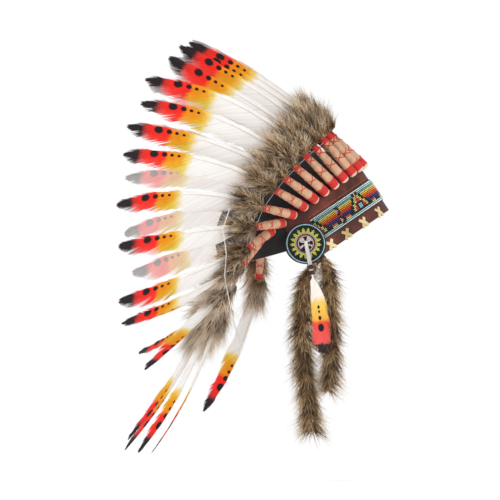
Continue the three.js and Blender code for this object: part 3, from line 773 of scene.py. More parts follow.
def leather_finish(name, dark, mid, light, gloss=(0.42, 0.7)):
    """Grained leather in cloudy tones, darker in its pores."""
    finish = Finish(name, sheen_weight=0.05)
    body = finish.mottle(45.0, 6.0, (0.28, dark), (0.52, mid), (0.78, light))
    cells = finish.out("ShaderNodeTexVoronoi", {"Vector": finish.place, "Scale": 900.0}, "Distance")
    grain = finish.cloud(520.0, 5.0)
    finish.colour(finish.blend(finish.ranged(cells, 0.0, 0.35, 0.35, 0.0), body, paint(dark)))
    finish.rough(finish.ranged(grain, 0.3, 0.7, *gloss))
    finish.bump(finish.plus(cells, grain), 0.25 * MM, 0.7)
    return finish.material


WRAP_BANDS = [
    (0.0, "#f2e0ca"), (2.8, "#ecd0b2"), (3.4, "#dc2420"), (13.4, "#d4201e"), (14.1, "#d6ac8a"),
    (52.6, "#d0a482"), (53.4, "#d22420"), (64.0, "#c8201e"),
]
WRAP_SPAN = 64.0
RAGGED_WRAP = 1.2


def hide_finish():
    """Tan hide with a pale rolled tip and a red band, by the distance from the wrap's foot."""
    finish = Finish("wrapped_hide", sheen_weight=0.1)
    along = finish.distance("along")
    ragged = finish.minus(finish.cloud(300.0, 2.0), 0.5)
    edge = finish.plus(along, finish.times(ragged, RAGGED_WRAP))
    share = finish.math("DIVIDE", edge, WRAP_SPAN)
    bands = finish.ramp(share, *((mm / WRAP_SPAN, code) for mm, code in WRAP_BANDS))
    mottle = finish.mottle(130.0, 5.0, (0.3, "#b89274"), (0.6, "#ffffff"))
    finish.colour(finish.blend(0.4, bands, mottle, "MULTIPLY"))
    grain = finish.cloud(700.0, 5.0)
    finish.rough(finish.ranged(grain, 0.3, 0.7, 0.6, 0.85))
    creases = finish.out("ShaderNodeTexWave", {
        "Vector": finish.place, "Scale": 60.0, "Distortion": 9.0, "Detail": 3.0}, "Fac")
    finish.bump(finish.plus(grain, finish.times(creases, 0.4)), 0.35 * MM, 0.7)
    return finish.material


def bead_finish():
    """Glass seed beads in their own tints, each dulled a little by a fine cloud."""
    finish = Finish("seed_bead_glass", roughness=0.22, coat_weight=0.35, coat_roughness=0.08)
    tint = finish.column("tint", "Color")
    cloud = finish.mottle(500.0, 2.0, (0.3, "#c8c8c8"), (0.7, "#ffffff"))
    finish.colour(finish.blend(0.6, tint, cloud, "MULTIPLY"))
    return finish.material


def thread_finish(name, dark, light):
    finish = Finish(name, roughness=0.7, sheen_weight=0.2)
    finish.colour(finish.mottle(700.0, 4.0, (0.3, dark), (0.7, light)))
    inputs = {"Vector": finish.place, "Scale": 900.0, "Distortion": 3.0}
    finish.bump(finish.out("ShaderNodeTexWave", inputs, "Fac"), 0.15 * MM, 0.6)
    return finish.material


# Dye of a feather by its distance from the tip, and the dots along its shaft as (from tip, radius)
DYE_SPAN = 130.0
DYE = [
    (0.0, "#2a2224"), (20.0, "#241c1f"), (26.0, "#c8302e"), (33.0, "#ee241c"), (56.0, "#f0281a"),
    (61.0, "#ea8a10"), (70.0, "#e48e08"), (80.0, "#e6a01a"), (88.0, "#e8cc62"), (96.0, "#f1eeeb"),
    (130.0, "#f1eeeb"),
]
# The dye as it thins out towards the trailing edge
THIN_DYE = [
    (0.0, "#5a5054"), (18.0, "#54484c"), (26.0, "#e89a9a"), (36.0, "#f05850"), (53.0, "#f0443a"),
    (59.0, "#e8b038"), (72.0, "#dcb82c"), (86.0, "#dccb52"), (94.0, "#efeadc"), (104.0, "#f1eeeb"),
    (130.0, "#f1eeeb"),
]
THIN_FROM = 5.0  # mm beside the shaft where the thin dye begins, and where it has taken over
THIN_TO = 17.0
RAGGED_BANDS = 7.0  # how ragged the bands are, in mm, and the edge of the thin dye
RAGGED_EDGE = 9.0
BARB_SHIFT = 1.5  # how far one barb's dye runs past another's, in mm
PALE_SHAFT = [(92.0, "#e2dcd4"), (130.0, "#d8d0c6")]
DOTS = [(41.0, 4.4), (55.0, 2.8), (65.0, 1.9), (74.5, 1.6)]
DROP_DYE = [
    (0.0, "#2a2224"), (10.5, "#2a2224"), (13.0, "#e65a58"), (36.0, "#e84a40"), (41.0, "#eab040"),
    (60.0, "#ecc860"), (68.0, "#f0eae0"), (130.0, "#f4f0ea"),
]
DROP_DOTS = [(30.0, 3.6), (41.5, 1.9), (49.0, 1.2), (54.5, 1.5)]


def feather_finish(name, dye, thin, dots, roughness=0.62):
    """Barbs dyed in bands by their distance from the tip, with dots beside the shaft."""
    finish = Finish(name, 0.2, roughness=roughness)
    from_tip = finish.distance("from_tip")
    aside = finish.distance("aside")
    ragged = finish.minus(finish.cloud(160.0, 3.0), 0.5)
    place = finish.plus(from_tip, finish.times(ragged, RAGGED_BANDS))
    shade = finish.column("shade")
    place = finish.plus(place, finish.times(shade, BARB_SHIFT))
    share = finish.math("DIVIDE", place, DYE_SPAN)
    tables = ([(mm / DYE_SPAN, code) for mm, code in table] for table in (dye, thin))
    full, spare = (finish.ramp(share, *stops) for stops in tables)
    thinned = finish.plus(aside, finish.times(ragged, RAGGED_EDGE))
    bands = finish.blend(finish.ranged(thinned, THIN_FROM, THIN_TO, 0.0, 0.85), full, spare)
    nearest = None
    for centre, radius in dots:
        ahead = finish.math("DIVIDE", finish.minus(from_tip, centre), radius * 1.35)
        beside = finish.math("DIVIDE", aside, radius)
        squares = (finish.math("POWER", part, 2.0) for part in (ahead, beside))
        spot = finish.math("SQRT", finish.plus(*squares))
        nearest = spot if nearest is None else finish.math("MINIMUM", nearest, spot)
    inked = finish.blend(finish.ranged(nearest, 0.82, 1.12, 1.0, 0.0), bands, paint("#1c1518"))
    undyed = finish.mottle(60.0, 3.0, (0.3, "#e8e4e1"), (0.7, "#f4f1ef"))
    dyed = finish.blend(finish.column("dye"), undyed, inked)
    streaks = finish.ramp(shade, (0.0, "#eeebea"), (0.5, "#f8f7f6"), (1.0, "#ffffff"))
    finish.colour(finish.blend(0.7, dyed, streaks, "MULTIPLY"))
    finish.bump(finish.cloud(1500.0, 3.0), 0.12 * MM, 0.5)
    return finish.material


def fur_finish(name="fur", root="#584230", mid="#d0ac80", light="#fde6c4", tip="#fffaf0", depth=0.75):
    """Hair, dark at its root and pale at its tip, with a few black tips and, to a depth, painted shade that
    darkens whole locks.
    """
    finish = Finish(name, 0.3, roughness=0.55)
    body = finish.ramp(finish.column("tip"), (0.0, root), (0.3, mid), (0.65, light), (1.0, tip))
    shade = finish.column("shade")
    few, outer = finish.ranged(shade, 0.86, 0.9), finish.ranged(finish.column("tip"), 0.6, 0.9)
    dark_tip = finish.times(finish.times(few, outer), 0.75)
    tipped = finish.blend(dark_tip, body, paint("#2c221c"))
    # painted shade: the lock noise darkens whole locks, as if shadow fell between clumps of strands
    lock = finish.ramp(finish.column("lock"), (0.4, "#564230"), (0.48, "#b8a68e"), (0.54, "#ffffff"))
    hair = finish.ramp(shade, (0.0, "#7c6850"), (0.3, "#d8cab8"), (0.7, "#ffffff"))
    shaded = finish.blend(depth, tipped, lock, "MULTIPLY")
    finish.colour(finish.blend(depth * 0.8, shaded, hair, "MULTIPLY"))
    finish.bump(finish.cloud(800.0, 2.0), 0.1 * MM, 0.4)
    return finish.material


def floor_finish():
    finish = Finish("studio_floor", roughness=0.9)
    finish.colour(finish.mottle(3.0, 3.0, (0.3, "#f1f1f1"), (0.7, "#f6f6f6")))
    finish.shader.inputs["Emission Color"].default_value = (1.0, 1.0, 1.0, 1.0)
    finish.shader.inputs["Emission Strength"].default_value = 0.35
    return finish.material


FELT = felt_finish()
LEATHER = leather_finish("brown_leather", "#300f08", "#5a2618", "#82402c", (0.6, 0.8))
NAPE_LEATHER = leather_finish("nape_leather", "#20100c", "#3c1f18", "#5a3226")
PAD_FELT = leather_finish("rosette_backing", "#0d1512", "#16221d", "#26352e", (0.7, 0.9))
HIDE = hide_finish()
BEAD_GLASS = bead_finish()
RED_THREAD = thread_finish("red_thread", "#b02c24", "#d84a38")
WHITE_THREAD = thread_finish("white_thread", "#d8d4d0", "#f6f4f2")
# painted highlight: a raised leather fold, coloured lighter than the band to stand for the light line along
# it
WELT_PAINTED_HIGHLIGHT = thread_finish("leather_welt", "#7c3020", "#b4583c")
SEAM_THREAD = thread_finish("seam_thread", "#5a5f60", "#9aa0a0")
RAWHIDE = leather_finish("rawhide_lace", "#b09458", "#dcc692", "#efe2bc", (0.45, 0.7))
GREY_LACE = leather_finish("grey_lace", "#8c8480", "#c6c0bc", "#e4e0dc", (0.6, 0.8))
DARK_BEAD = leather_finish("horn_bead", "#1a0a08", "#3a1612", "#54241c", (0.1, 0.25))
FEATHER = feather_finish("painted_feather", DYE, THIN_DYE, DOTS)
DROP_FEATHER = feather_finish("painted_drop_feather", DROP_DYE, DROP_DYE, DROP_DOTS)
SHAFT = feather_finish("feather_shaft", DYE[:-3] + PALE_SHAFT, DYE[:-3] + PALE_SHAFT, DOTS, 0.4)
FUR = fur_finish()
TRAILING_FUR = fur_finish("trailing_fur", "#6e5840", "#dec09a", "#fff0da", "#fffaf2", 0.45)
TAIL_FUR = fur_finish("tail_fur", "#54402c", "#b89468", "#f6deb8", "#fff8e8")

BEADS = bead_growth()
BARBS = barb_growth()
FUR_STRANDS = fur_growth()
CRISS_CROSS = lacing_growth()
THREAD = thread_growth()
STITCHES = stitch_growth()


# Cap, band and strips

CAP_SIDES = 96
CAP_WALL_LEVELS = 5
CAP_LEVELS = 26
CAP_EDGES = [
    (0, CAP_FRONT_EDGE), (0.3, CAP_FRONT_EDGE), (0.47, CAP_SIDE_EDGE), (0.56, CAP_SIDE_EDGE),
    (0.8, CAP_NAPE_EDGE), (1, CAP_NAPE_EDGE),
]


def cap_place(reach, level, inward):
    """Place on the felt: levels run from 0 at its edge to CAP_LEVELS at the crown."""
    low = between(CAP_EDGES, abs(reach) / HALF_GIRTH)
    at, out = on_head(reach)
    inner = at - out * inward
    if level <= CAP_WALL_LEVELS:
        return HEAD @ (inner + UP * mix(low, BAND_HEIGHT, level / CAP_WALL_LEVELS))
    lift = math.pi / 2 * (level - CAP_WALL_LEVELS) / (CAP_LEVELS - CAP_WALL_LEVELS)
    height = BAND_HEIGHT + (CAP_HEIGHT - inward - BAND_HEIGHT) * math.sin(lift)
    return HEAD @ (inner * math.cos(lift) + UP * height)


def build_cap():
    rows = []
    levels = range(CAP_LEVELS)
    for level, inward in [(l, 0) for l in reversed(levels)] + [(l, CAP_WALL) for l in levels]:
        reaches = (HALF_GIRTH * (2 * (i + 0.5) / CAP_SIDES - 1) for i in range(CAP_SIDES))
        rows.append([cap_place(reach, level, inward) for reach in reaches])
    add_piece("felt_cap", solid("felt_cap", loft(rows), FELT), "felt", "crown_cap")


def wall_on_head(reach_from, reach_to, low, high, inner, outer, steps, edge=0.6 * MM):
    """Band with rounded edges that follows the head's outline."""
    outline = [
        (inner, low), (outer - edge, low), (outer - edge * 0.3, low + edge * 0.3), (outer, low + edge),
        (outer, high - edge), (outer - edge * 0.3, high - edge * 0.3), (outer - edge, high), (inner, high),
    ]
    reaches = (mix(reach_from, reach_to, share) for share in even(steps))
    return loft([[head_place(reach, height, off) for off, height in outline] for reach in reaches])


BAND_STEPS = 150


def build_band():
    shape = wall_on_head(-BAND_REACH, BAND_REACH, 0, BAND_HEIGHT, CLEARANCE, BAND_OUTER, BAND_STEPS)
    add_piece("leather_band", solid("leather_band", shape, LEATHER), "leather", "brow_band")


# Bead strip, charted in columns and rows of beads

BEAD_LENGTH = 1.9 * MM
BEAD_ROWS = 14
BEAD_MARGIN = 0.9 * MM
BEAD_PITCH = (STRIP_HEIGHT - 2 * BEAD_MARGIN) / BEAD_ROWS
# Shares of its pitch and length that a bead fills, and of its pitch that its middle stands off
BEAD_FILL = 0.9
LENGTH_FILL = 0.76
BEAD_RISE = 0.3
STRIP_STEPS = 110
STRIP_EDGE = 0.2 * MM
BEAD_COLOURS = {
    "white": "#fbfaf8", "sky": "#b6e8f2", "teal": "#6cc0b0", "cream": "#fbee8e", "yellow": "#ffcc3c",
    "orange": "#ff8c22", "ember": "#f85a20", "red": "#e02c24", "wine": "#8a1f20", "purple": "#3c2a80",
    "black": "#1a1219", "rose": "#ecb8b4", "leaf": "#eaec66", "silver": "#b8c8cc",
}
TINTS = {name: paint(code) for name, code in BEAD_COLOURS.items()}
STRIPES = [
    "white", "sky", "teal", "cream", "yellow", "orange", "ember", "red", "purple", "purple", "black",
    "black", "sky", "white",
]
LODGE_REACH = 54 * MM  # where the stepped figure stands, and how far it is to the next
LODGE_PITCH = 68 * MM
LODGE_ROWS = 11
LODGE_STEPS = (2, 4, 5, 7, 8)  # half widths in beads, each two rows high
DOOR_TOP = 8
STAR_COLUMN = round(LODGE_PITCH / BEAD_LENGTH / 2)
STAR_ROWS = (4, 10)
DASHES = {10: "ember", 11: "cream"}


def stripe_bead(column, row):
    """Striped ground, with a pair of stars behind a figure and dashes beside the lower star."""
    from_star = abs(abs(column) - STAR_COLUMN)
    for centre in STAR_ROWS if column > 0 else ():
        up = abs(row - centre)
        if from_star + up <= 1:
            return "rose" if from_star + up else "white"
        if from_star == up == 2 or from_star == up == 1:
            return "wine"
        if from_star <= 2 and up <= 2:
            return "black"
    if row in DASHES and 4 <= from_star <= 7:
        return DASHES[row]
    return STRIPES[row]


def lodge_bead(column, row):
    """Stepped figure: black outline, cream steps, red ground and a sky door."""
    inside = LODGE_STEPS[min(len(LODGE_STEPS) - 1, (row - 1) // 2)] - abs(column)
    if inside < 0 or row > LODGE_ROWS:
        return None
    if row == LODGE_ROWS or inside < 2:
        return "black"
    if row >= DOOR_TOP - 1 and abs(column) <= 2:
        return "sky" if abs(column) <= 1 and row >= DOOR_TOP else "black"
    if inside <= 3:
        return "cream"
    return "ember" if (abs(column) + row) % 3 == 0 else "red"


def strip_bead(reach, row):
    """Colour of the bead at a reach along the strip, in a row counted from the top."""
    step = (abs(reach) - LODGE_REACH) / LODGE_PITCH
    centre = LODGE_REACH + LODGE_PITCH * max(0, round(step))
    column = round((abs(reach) - centre) / BEAD_LENGTH)
    if row in (0, BEAD_ROWS - 1):
        return "white"
    return lodge_bead(column, row) or stripe_bead(column, row)


def glass_beads(spots, **sizes):
    """Beads at spots of (place, axis, colour)."""
    places, axes, tints = zip(*spots)
    base = new_mesh("bead_points", places, axis=axes, tint=tints)
    return grown(BEADS, base, ("tint",), material=BEAD_GLASS, **sizes)


def build_strip():
    off = STRIP_INNER + STRIP_WALL
    top = STRIP_LOW + STRIP_HEIGHT
    shape = wall_on_head(
        -STRIP_REACH, STRIP_REACH, STRIP_LOW, top, STRIP_INNER, off, STRIP_STEPS, STRIP_EDGE)
    backing = solid("strip_backing", shape, PAD_FELT)
    spots = []
    columns = int(STRIP_REACH / BEAD_LENGTH)
    for column in range(-columns, columns + 1):
        reach = column * BEAD_LENGTH
        before, after = (head_place(reach + step * BEAD_LENGTH, 0, off) for step in (-1, 1))
        for row in range(BEAD_ROWS):
            height = top - BEAD_MARGIN - (row + 0.5) * BEAD_PITCH
            place = head_place(reach, height, off + BEAD_PITCH * BEAD_RISE)
            spots.append((place, (after - before).normalized(), TINTS[strip_bead(reach, row)]))
    beads = glass_beads(
        spots, bead_diameter=BEAD_PITCH * BEAD_FILL, bead_length=BEAD_LENGTH * LENGTH_FILL,
        size_spread=0.08, seed=3)
    add_piece("bead_strip", several("bead_strip", beads, backing), "beadwork", "beaded_strip")


# Rosettes, charted in rings of beads from the middle outwards

RING_PITCH = 1.5 * MM
RING_BEAD = 1.2 * MM
RING_FILL = 1.03  # share of its place that a bead fills
RING_BEAD_LIFT = 0.35 * MM
BACKING_SIDES = 72
BACKING_EDGE = 0.5 * MM
BACKING_ROUND = 0.3 * MM
BACKING_SINK = 0.6 * MM  # how far the backing lies under the solid's face, to leave room for the beads
PLAIN_RINGS = {
    0: "red", 1: "red", 6: "rose", 7: "wine", 8: "silver", 13: "black", 14: "black", 15: "sky", 16: "black",
}
RAYS = 17
RAY_SHARE = {9: 1.1, 10: 0.7, 11: 0.5, 12: 0.2}
# Dark wedges of the middle as (degrees from the top, half width, last ring)
WEDGES = [(8, 20, 5), (98, 20, 5), (157, 16, 6), (221, 18, 5), (279, 20, 5)]


def rosette_bead(ring_number, degrees):
    if ring_number in RAY_SHARE:
        across = abs((degrees * RAYS / 360) % 1 - 0.5) * 2
        return "leaf" if across < RAY_SHARE[ring_number] else "black"
    for middle, half, last in WEDGES:
        if 2 <= ring_number <= last and abs((degrees - middle + 180) % 360 - 180) <= half:
            return "black"
    return PLAIN_RINGS.get(ring_number, "white")


def rosette_frame(side):
    """Middle of the rosette's back, and its outward, upward and sideways directions."""
    outward = outward_at(side * ROSETTE_REACH)
    up = (UP - outward * outward.z).normalized()
    middle = head_place(side * ROSETTE_REACH, ROSETTE_HEIGHT, STRIP_INNER)
    return middle, outward, up, outward.cross(up) * side


def rosette_height(radius):
    edge = PAD_WALL + ROSETTE_WALL - ROSETTE_DOME
    return edge + ROSETTE_DOME * (1 - (radius / (ROSETTE_DIAMETER / 2)) ** 2) - BACKING_SINK


def build_rosette(side):
    middle, outward, up, right = rosette_frame(side)
    radius = ROSETTE_DIAMETER / 2
    profile = [
        (PAD_DIAMETER / 2, 0), (PAD_DIAMETER / 2, PAD_WALL), (radius - BACKING_EDGE, PAD_WALL),
        (radius, PAD_WALL + BACKING_EDGE), (radius, rosette_height(radius) - BACKING_ROUND),
    ]
    sizes = [radius * share for share in (0.97, 0.8, 0.6, 0.4, 0.2, 0.02)]
    profile += [(size, rosette_height(size)) for size in sizes]
    rings = [
        ring(middle + outward * height, right, up, size, size, BACKING_SIDES) for size, height in profile
    ]
    backing = solid("rosette_backing", loft(rings), PAD_FELT)
    spots = []
    for number in range(int(radius / RING_PITCH) + 1):
        size = number * RING_PITCH
        share = RAYS if number in RAY_SHARE else 1
        a_ray = max(1, round(2 * math.pi * size / RING_BEAD / share))
        count = a_ray * share
        for i in range(count):
            angle = 2 * math.pi * (i + a_ray % 2 / 2) / count
            away = up * math.cos(angle) + right * math.sin(angle)
            place = middle + away * size + outward * (rosette_height(size) + RING_BEAD_LIFT)
            axis = outward.cross(away) if number else right
            spots.append((place, axis, TINTS[rosette_bead(number, math.degrees(angle))]))
    beads = glass_beads(
        spots, bead_diameter=RING_PITCH * RING_FILL, bead_length=RING_BEAD * RING_FILL,
        size_spread=0.06, seed=5)
    name = SIDES[side]
    add_piece(f"bead_rosette_{name}", several("rosette", beads, backing), "beadwork", f"rosette_{name}")


# Feathers

BARBS_A_SIDE = 92
BARBS_FROM = 0.06  # share of a feather's length where its barbs begin
BARB_BEND = 0.14
BARB_SIZES = {
    "thickness": 0.2 * MM, "bend": BARB_BEND, "split_angle": 0.065, "split_scale": 34.0, "flutter": 0.008,
}
BARB_OVERLAP = 1.9
LEAST_GIRTH = 1.1 * MM
LEAN_AT_ROOT = 47
LEAN_AT_TIP = 15
LEADING_LEAN = 0.6
SHINGLE = 0.08
DROOP = 0.08
SHAFT_END = 0.985
SHAFT_TAPER = 1.15
SHAFT_LEAST = 0.16  # share of its radius that is left at its tip
SHAFT_SIDES = 8
SHAFT_STEPS = 26
TIP_INSET = 6 * MM


def barb_reach(share, lean, edge, length, half_width):
    """How far a barb runs from the shaft to the outline of the vane."""
    ahead = (math.cos(lean) + BARB_BEND) / length
    low, high = 0.0, (1 - share) / ahead
    for _ in range(12):
        middle = (low + high) / 2
        inside = middle * math.sin(lean) < half_width(share + middle * ahead, edge)
        low, high = (middle, high) if inside else (low, middle)
    return low


def barb_roots(frame_at, length, half_width, barbs, dye, start):
    """Roots of the barbs on both sides of a shaft, with the columns that lay each barb."""
    keys = ("forward", "face", "shaft", "across", "root_from_tip", "reach", "girth", "dye")
    places, columns = [], {key: [] for key in keys}
    for edge in (-1, 1):
        for i in range(barbs):
            share = start + (SHAFT_END - start) * (i + 0.5) / barbs
            at, along, across, out = frame_at(share * length)
            lean = math.radians(mix(LEAN_AT_ROOT, LEAN_AT_TIP, share ** 1.6))
            lean *= LEADING_LEAN if edge < 0 else 1
            forward = along * math.cos(lean) + across * edge * math.sin(lean) - out * DROOP
            face = forward.cross(along).normalized()
            row = (forward, face + face.cross(forward) * SHINGLE, along, across, (1 - share) * length,
                   barb_reach(share, lean, edge, length, half_width),
                   max(LEAST_GIRTH, length / barbs * math.sin(lean) * BARB_OVERLAP), dye)
            places.append(at)
            for key, value in zip(keys, row):
                columns[key].append(value)
    return new_mesh("barb_roots", places, **columns)


def build_shaft(frame_at, length, radius, dye, material):
    sections, from_tip = [], []
    for part in even(SHAFT_STEPS):
        share = part * SHAFT_END
        at, _, across, out = frame_at(share * length)
        size = radius * max(SHAFT_LEAST, 1 - SHAFT_TAPER * share)
        sections.append(ring(at, across, out, size, size, SHAFT_SIDES))
        from_tip += [(1 - share) * length] * SHAFT_SIDES
    count = len(from_tip)
    return solid("shaft", loft(sections), material, from_tip=from_tip, aside=[0.0] * count,
                 shade=[0.6] * count, dye=[dye] * count)


def build_feather(
        frame_at, length, half_width, radius, dye, seed, finishes, barbs=BARBS_A_SIDE, start=BARBS_FROM):
    """Vane of barbs and the shaft, along the frames that frame_at gives for a distance."""
    vane_finish, shaft = finishes
    roots = barb_roots(frame_at, length, half_width, barbs, dye, start)
    vane = grown(
        BARBS, roots, ("from_tip", "aside", "shade", "dye"), seed=seed, material=vane_finish, **BARB_SIZES)
    return several("feather", vane, build_shaft(frame_at, length, radius, dye, shaft))


TRAILING_FROM = 11  # the plumes from this number on have narrower vanes and paler fur
TRAILING_SHARE = 0.62
FAR_DYE = 0.55  # strength of the dye on the left side of the fan
LEFT_SEED = 40


def plume_feather(plume):
    width = FEATHER_WIDTH * (TRAILING_SHARE if plume.number >= TRAILING_FROM else 1)

    def half_width(share, edge):
        return width * between(VANE, share, 1 if edge < 0 else 2)

    def frame_at(distance):
        return plume.frame(WRAP_LENGTH + CLEARANCE + distance, plume.twist)
    dye = FAR_DYE if plume.side < 0 and plume.number < len(FAN_PLUMES) else 1.0
    seed = plume.number + (0 if plume.side > 0 else LEFT_SEED)
    return build_feather(frame_at, plume.length - TIP_INSET, half_width, QUILL_RADIUS, dye, seed,
                         (FEATHER, SHAFT))


# Wraps and fur tufts

WRAP_SIDES = 20
WRAP_RINGS = [
    (0, WRAP_FOOT), (0.6, 0.76), (1.3, 0.9), (2.4, 0.97), (3.1, 0.96), (3.5, 1.03), (8.6, 1.05), (13.2, 1.03),
    (14, 0.97), (22, 0.98), (32, 0.93), (42, 0.86), (49, 0.79), (52, 0.72), (53, 0.64), (53.6, 0.73),
    (54.8, 0.77), (55.6, 0.71), (56.2, 0.77), (57.6, 0.77), (58.4, 0.71), (59, 0.76), (60.6, 0.74),
    (61.6, 0.62), (62.4, 0.4),
]
CORE_STEPS = 14
CORE_SIDES = 16
CORE_FROM = 0.19
CORE_ROOM = 0.45  # share of the room to the next plume that a core may fill
# Where the tuft's core ends, how thick it is and how far its strands stand out, by plume number
TUFT_SHAPES = [(0, 0.72, 0.6, 0.9), (6, 0.68, 0.58, 0.85), (8, 0.6, 0.5, 0.68), (15, 0.66, 0.5, 0.68)]
TUFT_HAIR = {
    "density": 330000.0, "strand_length": 34 * MM, "strand_radius": 0.5 * MM, "length_spread": 0.45,
    "lock_scale": 95.0, "lock_lean": 1.3, "stray": 0.14, "bend": 11.0,
}


def build_wrap(plume):
    _, _, across, out = plume.frame(WRAP_LENGTH / 2)
    sections, distances = [], []
    for mm, share in WRAP_RINGS:
        size = WRAP_RADIUS * share
        sections.append(ring(plume.at(mm * MM), across, out, size, size, WRAP_SIDES))
        distances += [mm * MM] * WRAP_SIDES
    return solid("wrap", loft(sections), HIDE, along=distances)


def furred(sections, lays, fullness, core_tip, **sizes):
    """Core through sections with strands on it, coloured like a strand at core_tip of its length."""
    count = len(lays)
    core = new_mesh("core", *loft(sections), lay=lays, fullness=fullness, tip=[core_tip] * count,
                    shade=[0.5] * count)
    return grown(FUR_STRANDS, core, ("tip", "shade", "lock"), **sizes)


def build_tuft(plume, seed):
    """Core of a fur tuft, and the strands on it."""
    sections, lays, fullness = [], [], []
    core_to, core_share, stand = (between(TUFT_SHAPES, plume.number, column) for column in (1, 2, 3))
    for part in even(CORE_STEPS):
        share = mix(CORE_FROM, core_to, part)
        distance = WRAP_LENGTH - TUFT_START + share * TUFT_LENGTH
        at, along, across, out = plume.frame(distance)
        radius = between(TUFT, share)
        half = min(TUFT_RADIUS, plume.room(distance) * CORE_ROOM) * radius * core_share
        depth = TUFT_RADIUS * radius * core_share
        section = ring(at, across, out, half, depth, CORE_SIDES)
        sections.append(section)
        lays += [along + (point - at).normalized() * stand * mix(1.0, 0.35, part) for point in section]
        fullness += [mix(0.75, 1.0, part)] * CORE_SIDES
    material = TRAILING_FUR if plume.number >= TRAILING_FROM else FUR
    return furred(sections, lays, fullness, 0.25, seed=seed, material=material, **TUFT_HAIR)


THREAD_FROM = 10 * MM
THREAD_PITCH = 19.5 * MM
THREAD_TURNS = 2.25
THREAD_RADIUS = 0.7 * MM
THREAD_FOOT = 1.04  # radius of the winding at its two ends, as shares of the wrap's
THREAD_TOP = 0.76


def build_wrap_threads(name, plumes):
    places, axes, turns = [], [], []
    for plume in plumes:
        _, along, _, _ = plume.frame(WRAP_LENGTH / 2)
        places.append(plume.at(THREAD_FROM))
        axes.append(along)
        turns.append(Vector((0, -plume.side, 0)))
    base = new_mesh("thread_points", places, axis=axes, across=turns)
    threads = grown(
        CRISS_CROSS, base, foot_radius=WRAP_RADIUS * THREAD_FOOT, top_radius=WRAP_RADIUS * THREAD_TOP,
        height=THREAD_PITCH * THREAD_TURNS, turns=THREAD_TURNS, thread_radius=THREAD_RADIUS,
        material=RED_THREAD)
    add_piece(name, threads, "hide")


def build_plumes(side):
    name = SIDES[side]
    for plume in PLUMES[side][:PLUMES_A_SIDE]:
        number = plume.number + 1
        seed = number + (0 if side > 0 else LEFT_SEED)
        mark = f"{name}_{number}"
        add_piece(f"laced_wrap_{mark}", build_wrap(plume), "hide", f"wrap_{mark}")
        add_piece(f"fur_tuft_{mark}", build_tuft(plume, seed), "fur", f"wrap_{mark}")
        add_piece(f"painted_feather_{mark}", plume_feather(plume), "feather", f"feather_{mark}")
    build_wrap_threads(f"red_lacing_{name}", PLUMES[side])


NAPE_SEED = 60
NAPE_STRIP_STEPS = 50


def build_nape(side):
    name = SIDES[side]
    node = f"nape_plumes_{name}"
    low = WRAP_HEIGHT - NAPE_STRIP_HEIGHT / 2
    start, end = PLUME_PITCH * PLUMES_A_SIDE + NAPE_MARGIN, HALF_GIRTH - NAPE_MARGIN
    shape = wall_on_head(side * start, side * end, low, low + NAPE_STRIP_HEIGHT, CLEARANCE,
                         CLEARANCE + NAPE_STRIP_WALL, NAPE_STRIP_STEPS)
    strip = solid("nape_strip", shape, NAPE_LEATHER)
    plumes = PLUMES[side][PLUMES_A_SIDE:]
    wraps = [build_wrap(plume) for plume in plumes]
    add_piece(f"nape_wraps_{name}", several("nape_wraps", strip, *wraps), "hide", node)
    tufts = [build_tuft(plume, plume.number + NAPE_SEED + side) for plume in plumes]
    add_piece(f"nape_fur_{name}", several("nape_fur", *tufts), "fur", node)
    feathers = [plume_feather(plume) for plume in plumes]
    add_piece(f"nape_feathers_{name}", several("nape_feathers", *feathers), "nape_plumes", node)


# Drops and fur tails under the rosettes

TAIL_STEPS = 26
TAIL_SIDES = 16
TAIL_CORE = 0.48
TAIL_TAB_STEPS = 8
TAIL_TAB_EDGE = 0.3 * MM
TAIL_APART = 0.33  # share of the tab's width from its middle to each tail
TAIL_END = 0.93  # share of a tail's length that its core reaches
TAIL_SPLAY_FROM = 0.85  # where the strands of its end begin to stand out more
TAIL_SPLAY = 1.5
TAIL_HAIR = {
    "density": 250000.0, "strand_length": 26 * MM, "strand_radius": 0.42 * MM, "length_spread": 0.5,
    "lock_scale": 90.0, "lock_lean": 1.3, "stray": 0.18, "bend": 12.0,
}


def tail_mesh(root, way, length, side, seed):
    """Hanging strip of fur along its way, lying against the wearer's side."""
    sections, lays, fullness = [], [], []
    for part in even(TAIL_STEPS):
        down = part * TAIL_END
        radius = between(way, down, 2)
        forward = between(way, down, 1)
        middle = root + Vector((forward * length, -side * TAIL_DEPTH / 2 * radius * 0.9, -down * length))
        ahead = between(way, min(1, down + 0.05), 1) - between(way, max(0, down - 0.05), 1)
        along = Vector((ahead * 10, 0, -1)).normalized()
        half, depth = (size / 2 * radius * TAIL_CORE for size in (TAIL_WIDTH, TAIL_DEPTH))
        section = ring(middle, *LEVEL, half, depth, TAIL_SIDES)
        sections.append(section)
        stand = mix(1.2, 0.85, min(1, down * 3)) * (TAIL_SPLAY if down > TAIL_SPLAY_FROM else 1)
        lays += [along + (point - middle).normalized() * stand for point in section]
        fullness += [mix(0.7, 1.0, min(1, down * 4))] * TAIL_SIDES
    return furred(sections, lays, fullness, 0.2, seed=seed, material=TAIL_FUR, **TAIL_HAIR)


